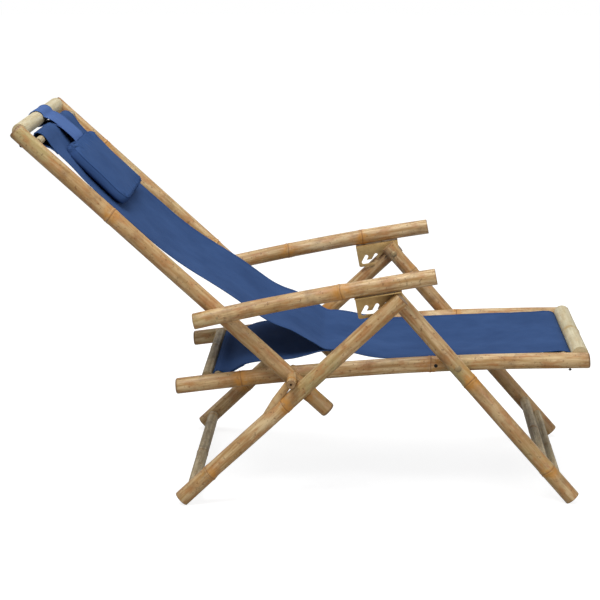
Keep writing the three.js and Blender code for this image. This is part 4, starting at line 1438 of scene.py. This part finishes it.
@dataclass
class Sling:
    """The hanging cloth: back and seat in one piece, and the panel from its crease to the rear rod."""

    palette: Palette

    def back_path(self) -> list[Vector]:
        """Lays the cloth from its hem behind the top rod, over the rod and down the back.

        Returns:
            Points of the line, in metres.
        """
        hem = [(96, 9.4), (86, 9.8), (76, 8.2), (67, 4.4), (59, 0.8), (50, -1.0), (41, -0.4)]
        hem += [(34.5, 3.6), (31.8, 9.2), (35.4, 14.6), (42, 17.8), (52, 18.7)]
        main = [(62, 17.0), (70, 14.8), (79, 12.8), (90, 11.6), (104, 11.0), (125, 10.4), (150, 8.4)]
        main += [(175, 6.0), (205, 4.8), (259, 4.4), (320, 4.7), (383, 6.0), (440, 11.5), (490, 20.0)]
        main += [(538, 29.0), (585, 35.5), (632, 41.0), (665, 49.0), (694, 60.6)]
        return [back_point(*p) for p in hem + main]

    def seat_path(self) -> list[Vector]:
        """Lays the cloth from the crease to the front rod and round it to its hem.

        Returns:
            Points of the line, in metres.
        """
        flat = [(575, 337.0), (598, 323.5), (611, 315.0), (618, 311.2), (626, 309.6), (640, 309.8)]
        flat += [(660, 307.8), (683, 303.4), (712, 297.2), (746, 293.4), (798, 294.5), (850, 298.0)]
        flat += [(968, 303.5), (1040, 306.4), (1087, 309.2), (1104, 310.8)]
        wrap = [(1118, 311.2), (1127, 309.6), (1133, 304.8), (1133.4, 298.6), (1127.5, 294.2)]
        wrap += [(1117, 292.6)]
        hem = [(1106, 295.0), (1096, 300.2), (1088, 304.6), (1076, 305.6)]
        return [side(*p) for p in flat + wrap + hem]

    def panel_path(self) -> list[Vector]:
        """Lays the panel from its hem, round the rear rod and forward to the crease.

        Returns:
            Points of the line, in metres.
        """
        rod = side(*REAR_ROD_MIDDLE)
        hem = [(452, 274.8), (442, 269.6), (431, 262.8), (421, 256.4), (412, 251.4), (404, 246.4)]
        wrap = arc(rod, *FIRST_ARC) + [side(*REAR_WRAP)] + arc(rod, *LAST_ARC)
        main = [(401, 262.6), (408, 260.0), (414, 258.8), (421, 259.8), (431, 265.6), (443, 272.8)]
        main += [(460, 279.2), (480, 283.0), (520, 286.8), (551, 289.8), (587, 299.0), (606, 305.0)]
        main += [(618, 307.1), (634, 307.2)]
        return [side(*p) for p in hem] + wrap + [side(*p) for p in main]

    def build(self) -> None:
        """Makes both pieces of cloth."""
        line = curve(self.back_path() + self.seat_path())
        crease = min(range(len(line)), key=lambda i: (line[i] - side(*CREASE)).length)
        lengths = line_lengths(line)
        at_crease = lengths[crease]

        def sag(along: float, length: float) -> float:
            """Works out how far the middle of the cloth hangs below its line.

            Args:
                along: Distance along the line, in metres.
                length: Length of the line, in metres.

            Returns:
                The depth, in millimetres.
            """
            if along < at_crease:
                share = max(0.0, (along - SAG_START) / (at_crease - SAG_START))
                press = PRESS_DEPTH * math.exp(-(((along - PRESS_PLACE) / PRESS_SPREAD) ** 2))
                return press + BACK_SAG * share * share + BACK_BELLY * math.sin(math.pi * share) ** 2
            share = min(1.0, (along - at_crease) / (length - FRONT_HEM_LENGTH - at_crease))
            belly = SEAT_BELLY * math.sin(math.pi * share) * min(1.0, 2 * share)
            return SEAT_SAG * (1 - share) + belly

        stitches = (END_STITCH, length_mark(lengths, HEM_STITCH))
        unevenness = ripple(amount=1.6, seed=3.0)
        shape = {"sag": sag, "crumple": unevenness, "stitches": stitches}
        cloth, length = Strip("sling_cloth", tuple(line), CLOTH_WIDTH, **shape).build()
        self.palette.dress(cloth, Slot.CLOTH)
        start, end = back_point(*BEND_START), side(*BEND_END)
        start, end = (start.x, 0, start.y), (end.x, 0, end.y)
        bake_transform(cloth)
        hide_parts("sling_back", "sling_seat")
        self.rear_panel()
        log.info("sling cloth is %.3f m long", length)

    def rear_panel(self) -> None:
        """Makes the panel from under the crease to the rear rod."""

        def sag(along: float, length: float) -> float:
            """How far the middle of the panel hangs below its line, in millimetres."""
            share = max(0.0, (along - PANEL_SAG_START) / (length - PANEL_SAG_START))
            return PANEL_SAG * share**PANEL_SAG_POWER

        line = tuple(curve(self.panel_path()))
        unevenness = ripple(amount=0.9, seed=9.0, inset=0.05)
        cloth, length = Strip("sling_rear_cloth", line, CLOTH_WIDTH, sag=sag, crumple=unevenness).build()
        self.palette.dress(cloth, Slot.CLOTH)
        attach(cloth, Body.SEAT.value)
        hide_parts("sling_rear_panel")
        log.info("rear panel is %.3f m long", length)


def length_mark(lengths: Sequence[float], wanted: float) -> float:
    """Nearest distance along a line at which it has a point."""
    return min(lengths, key=lambda value: abs(value - wanted))


# The pillow's shares run from -1 to 1 across and along; lengths are in millimetres, pleats in radians
# for a share, and its soft waves in steps of noise for a share
CORNER_BEND = 7.0
LOWER_CORNER_BEND = 1.5
WALL_SHARE = 0.075
CROWN_SHARE = 0.8
TOP_GATHER_REACH = 20.0
LOW_GATHER_REACH = 14.0
SIDE_DRAW = 4.0
END_DRAW = 2.0
UNDER_GATHER = 0.4
PLEATS = 42.0
PLEAT_WANDER = (1.8, 13.0)
SOFTNESS = 1.7
SOFT_WAVE = (2.6, 1.9)
SOFT_ROWS = (3.0, 2.0)
SEAM_SHARE = 0.97
SEAM_RADIUS = 1.3
SEAM_STEPS = 90
SEAM_SIDES = 8
SEAM_UV = (0.002, 0.006)
PILLOW_UV = (0.28, 0.18)

# The strap, in millimetres; its wrap in degrees from the way out of the back
STRAP_WIDTH = 110.0
STRAP_MIDDLE = 24.0
STRAP_WRAP_RADIUS = 17.3
STRAP_WRAP_ANGLES = (-30.0, 205.0)
STRAP_ARC_STEP = 16.0


@dataclass
class HeadPillow:
    """Boxy pillow with a gathered upper seam, and the strap that holds it on the top rail."""

    palette: Palette
    columns: int = 150
    rows: int = 84
    half_width: float = 138.0
    half_height: float = 83.5
    middle: float = 183.0
    seam_out: float = 14.5
    front_wall: float = 13.0
    crown: float = 6.0
    back_wall: float = 8.5
    gather: float = 4.6
    low_gather: float = 1.6
    shift: float = 6.0
    skew: float = 10.0

    def place(self, u: float, v: float, face: float) -> Vector:
        """Finds a point of the pillow.

        Args:
            u: Share across, from -1 to 1.
            v: Share along, from -1 at the upper seam to 1.
            face: 1 for the upper face, -1 for the lower one and 0 for the border between them.

        Returns:
            The point, in metres.
        """
        bend = CORNER_BEND + LOWER_CORNER_BEND * max(0.0, v)
        edge = (abs(u) ** bend + abs(v) ** bend) ** (1 / bend)
        largest = max(abs(u), abs(v))
        shrink = largest / edge if edge > 0 else 1.0
        inside = 1.0 - largest
        wall = math.sqrt(max(0.0, 1 - (1 - min(1.0, inside / WALL_SHARE)) ** 2))
        crown = 1 - (1 - min(1.0, inside / CROWN_SHARE)) ** 2
        top = math.exp(-(((1 + v) * self.half_height / TOP_GATHER_REACH) ** 2))
        low = math.exp(-(((1 - v) * self.half_height / LOW_GATHER_REACH) ** 2))
        pleat = math.sin(u * PLEATS + PLEAT_WANDER[0] * math.sin(u * PLEAT_WANDER[1]))
        row = face * SOFT_ROWS[0] + SOFT_ROWS[1]
        soft = noise.noise(Vector((u * SOFT_WAVE[0], v * SOFT_WAVE[1], row)))
        top_pleat, low_pleat = top * pleat, self.low_gather * low * pleat
        out = self.seam_out
        if face > 0:
            uneven = SOFTNESS * soft + self.gather * top_pleat + low_pleat
            out += self.front_wall * wall + self.crown * crown + uneven * wall
        elif face < 0:
            out -= (self.back_wall - UNDER_GATHER * top_pleat) * wall
        drawn_u = self.half_width * u * shrink - SIDE_DRAW * u * (1 - v * v)
        drawn_v = self.half_height * v * shrink + self.gather * top_pleat * (1 - wall * 0.5) + low_pleat
        drawn_v -= END_DRAW * (1 - u * u) * v
        point = back_point(self.middle + drawn_v, out)
        return Vector((point.x, (drawn_u + self.shift - self.skew * v) * MM, point.y))

    def build(self) -> None:
        """Makes pillow, seam and strap."""
        surface = Surface("pillow_cushion", values={"stitch": []})
        grids = []
        for face in (1.0, -1.0):
            grid = []
            for row in range(self.rows + 1):
                v = -math.cos(math.pi * row / self.rows)
                members = []
                for column in range(self.columns + 1):
                    u = -math.cos(math.pi * column / self.columns)
                    border = row in (0, self.rows) or column in (0, self.columns)
                    if border and face < 0:
                        members.append(grids[0][row][column])
                    else:
                        members.append(surface.point(self.place(u, v, 0.0 if border else face)))
                grid.append(members)
            grids.append(grid)
        wide, high = PILLOW_UV
        for grid in grids:
            for row in range(self.rows):
                for column in range(self.columns):
                    places = ((row, column), (row + 1, column), (row + 1, column + 1), (row, column + 1))
                    uvs = tuple((wide * c / self.columns, high * r / self.rows) for r, c in places)
                    surface.face(tuple(grid[r][c] for r, c in places), uvs)
        pillow = self.palette.dress(surface.build(PILLOW_SMOOTH_ANGLE), Slot.CLOTH)
        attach(pillow, Body.PILLOW.value)
        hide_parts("pillow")
        self.seam()
        self.strap()

    def seam_centres(self) -> list[Vector]:
        """Lays the middle of the corded seam once round the pillow.

        Returns:
            Its points, in metres.
        """
        across = [-1 + 2 * step / SEAM_STEPS for step in range(SEAM_STEPS)]
        down = [-1 + 4 * step / SEAM_STEPS for step in range(SEAM_STEPS // 2)]
        loop = [(u, -1.0) for u in across] + [(1.0, v) for v in down]
        loop += [(-u, 1.0) for u in across] + [(-1.0, -v) for v in down]
        return [self.place(SEAM_SHARE * u, SEAM_SHARE * v, 1.0) for u, v in loop]

    def seam(self) -> None:
        """Makes the corded seam round the pillow."""
        surface = Surface("pillow_seam", values={"stitch": []})
        centres = self.seam_centres()
        count = len(centres)
        rings = []
        lift = Vector((BACK_OUT.x, 0, BACK_OUT.y))
        for index, centre in enumerate(centres):
            ahead = (centres[(index + 1) % count] - centres[index - 1]).normalized()
            across = ahead.cross(lift).normalized()
            ring = []
            for step in range(SEAM_SIDES):
                angle = 2 * math.pi * step / SEAM_SIDES
                away = across * math.cos(angle) + lift * math.sin(angle)
                ring.append(surface.point(centre + away * SEAM_RADIUS * MM))
            rings.append(ring)
        wide, high = SEAM_UV
        for index in range(count):
            one, other = rings[index], rings[(index + 1) % count]
            for step in range(SEAM_SIDES):
                after = (step + 1) % SEAM_SIDES
                near, far = index * high, (index + 1) * high
                uvs = ((0.0, near), (wide, near), (wide, far), (0.0, far))
                surface.face((one[step], one[after], other[after], other[step]), uvs)
        seam = self.palette.dress(surface.build(PILLOW_SMOOTH_ANGLE), Slot.CLOTH)
        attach(seam, Body.PILLOW.value)

    def strap(self) -> None:
        """Makes the strap from the upper seam, round the top rail and back under itself."""
        rail = back_point(*TOP_RAIL)
        turn_out = math.degrees(math.atan2(BACK_OUT.y, BACK_OUT.x))
        tongue = [(103, 22.0), (96, 24.0), (80, 24.4), (60, 23.8), (42, 22.8), (30, 20.6)]
        start, end = (turn_out + angle for angle in STRAP_WRAP_ANGLES)
        wrap = arc(rail, STRAP_WRAP_RADIUS, start, end, STRAP_ARC_STEP)
        under = [(24, -7.0), (31, 4.0), (38, 14.0), (50, 21.2), (60, 23.4)]
        points = [back_point(*p) for p in tongue] + wrap + [back_point(*p) for p in under]
        line = curve(points, spacing=0.005)
        strap, length = Strip(
            "pillow_strap_cloth",
            tuple(line),
            STRAP_WIDTH,
            centre_y=STRAP_MIDDLE,
            thickness=1.4,
            columns=24,
            hem=6.0,
            crumple=ripple(amount=0.8, seed=21.0, inset=0.03),
        ).build()
        self.palette.dress(strap, Slot.STRAP)
        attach(strap, Body.PILLOW.value)
        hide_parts("pillow_strap")
        log.info("strap is %.3f m long", length)


# Stage


@dataclass(frozen=True)
class Camera:
    """The photograph's viewpoint, fitted to the chair, in radians and millimetres."""

    yaw: float = -0.03443
    pitch: float = 0.21895
    distance: float = 4137.6
    target_x: float = 562.375
    target_z: float = 373.941
    lens: float = 114.0
    sensor: float = 36.0
    clip: float = 60.0

    def build(self) -> None:
        """Places the camera."""
        level = math.cos(self.pitch)
        forward = Vector((math.sin(self.yaw) * level, math.cos(self.yaw) * level, -math.sin(self.pitch)))
        right = Vector((math.cos(self.yaw), -math.sin(self.yaw), 0.0))
        up = right.cross(forward)
        target = Vector(((self.target_x - ORIGIN_X) * MM, 0.0, self.target_z * MM))
        place = target - forward * self.distance * MM
        turned = Matrix((right, up, -forward)).transposed().to_4x4()
        data = bpy.data.cameras.new("Camera")
        data.lens = self.lens
        data.sensor_width = self.sensor
        data.clip_end = self.clip
        camera = bpy.data.objects.new("Camera", data)
        camera.matrix_world = Matrix.Translation(place) @ turned
        bpy.context.scene.collection.objects.link(camera)
        bpy.context.scene.camera = camera


@dataclass(frozen=True)
class Lamp:
    """A soft round lamp: its place and size in metres and its power in watts."""

    name: str
    place: tuple[float, float, float]
    size: float
    power: float


@dataclass(frozen=True)
class Studio:
    """White floor and soft light."""

    floor_size: float = 14.0
    world_level: float = 0.5
    aim: tuple[float, float, float] = (0.0, 0.0, 0.35)
    lamps: tuple[Lamp, ...] = (
        Lamp("Key", (-0.9, -1.5, 3.4), size=1.8, power=66.0),
        Lamp("Fill", (2.2, -2.8, 1.3), size=2.4, power=26.0),
        Lamp("Top", (0.3, 0.9, 3.4), size=2.0, power=32.0),
    )

    def light(self, lamp: Lamp) -> None:
        """Adds a lamp that looks at the chair.

        Args:
            lamp: Place, size and power of the lamp.
        """
        data = bpy.data.lights.new(lamp.name, "AREA")
        data.shape = "DISK"
        data.size = lamp.size
        data.energy = lamp.power
        obj = bpy.data.objects.new(lamp.name, data)
        turned = (Vector(self.aim) - Vector(lamp.place)).to_track_quat("-Z", "Y").to_matrix().to_4x4()
        obj.matrix_world = Matrix.Translation(lamp.place) @ turned
        bpy.context.scene.collection.objects.link(obj)

    def floor(self) -> None:
        """Adds the floor."""
        mesh = bpy.data.meshes.new("floor")
        work = bmesh.new()
        bmesh.ops.create_grid(work, x_segments=1, y_segments=1, size=self.floor_size)
        work.to_mesh(mesh)
        work.free()
        mesh.materials.append(floor_material())
        floor = bpy.data.objects.new("floor", mesh)
        bpy.context.scene.collection.objects.link(floor)

    def world(self) -> None:
        """Makes a world that is white to the camera and dimmer to the chair."""
        world = bpy.data.worlds.new("Studio")
        world.use_nodes = True
        tree = world.node_tree
        background = next(n for n in tree.nodes if n.type == "BACKGROUND")
        background.inputs["Color"].default_value = WHITE
        path = tree.nodes.new("ShaderNodeLightPath")
        level = tree.nodes.new("ShaderNodeMapRange")
        level.inputs["To Min"].default_value = self.world_level
        level.inputs["To Max"].default_value = 1.0
        tree.links.new(path.outputs["Is Camera Ray"], level.inputs["Value"])
        tree.links.new(level.outputs["Result"], background.inputs["Strength"])
        bpy.context.scene.world = world

    def build(self) -> None:
        """Makes floor, world and lamps."""
        self.floor()
        self.world()
        for lamp in self.lamps:
            self.light(lamp)
        bpy.context.scene.view_settings.view_transform = "Standard"


@dataclass
class Recliner:
    """The whole chair."""

    palette: Palette

    def build(self) -> None:
        """Makes every sub-assembly."""
        PoleFrame(self.palette).build()
        Fittings(self.palette).build()
        Sling(self.palette).build()
        HeadPillow(self.palette).build()


def main() -> None:
    """Builds the picture round the frame."""
    logging.basicConfig(level=logging.INFO, format="%(name)s: %(message)s")
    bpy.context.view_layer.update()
    Recliner(Palette.build()).build()
    Camera().build()
    Studio().build()
    bpy.context.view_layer.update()


if __name__ == "__main__":
    main()
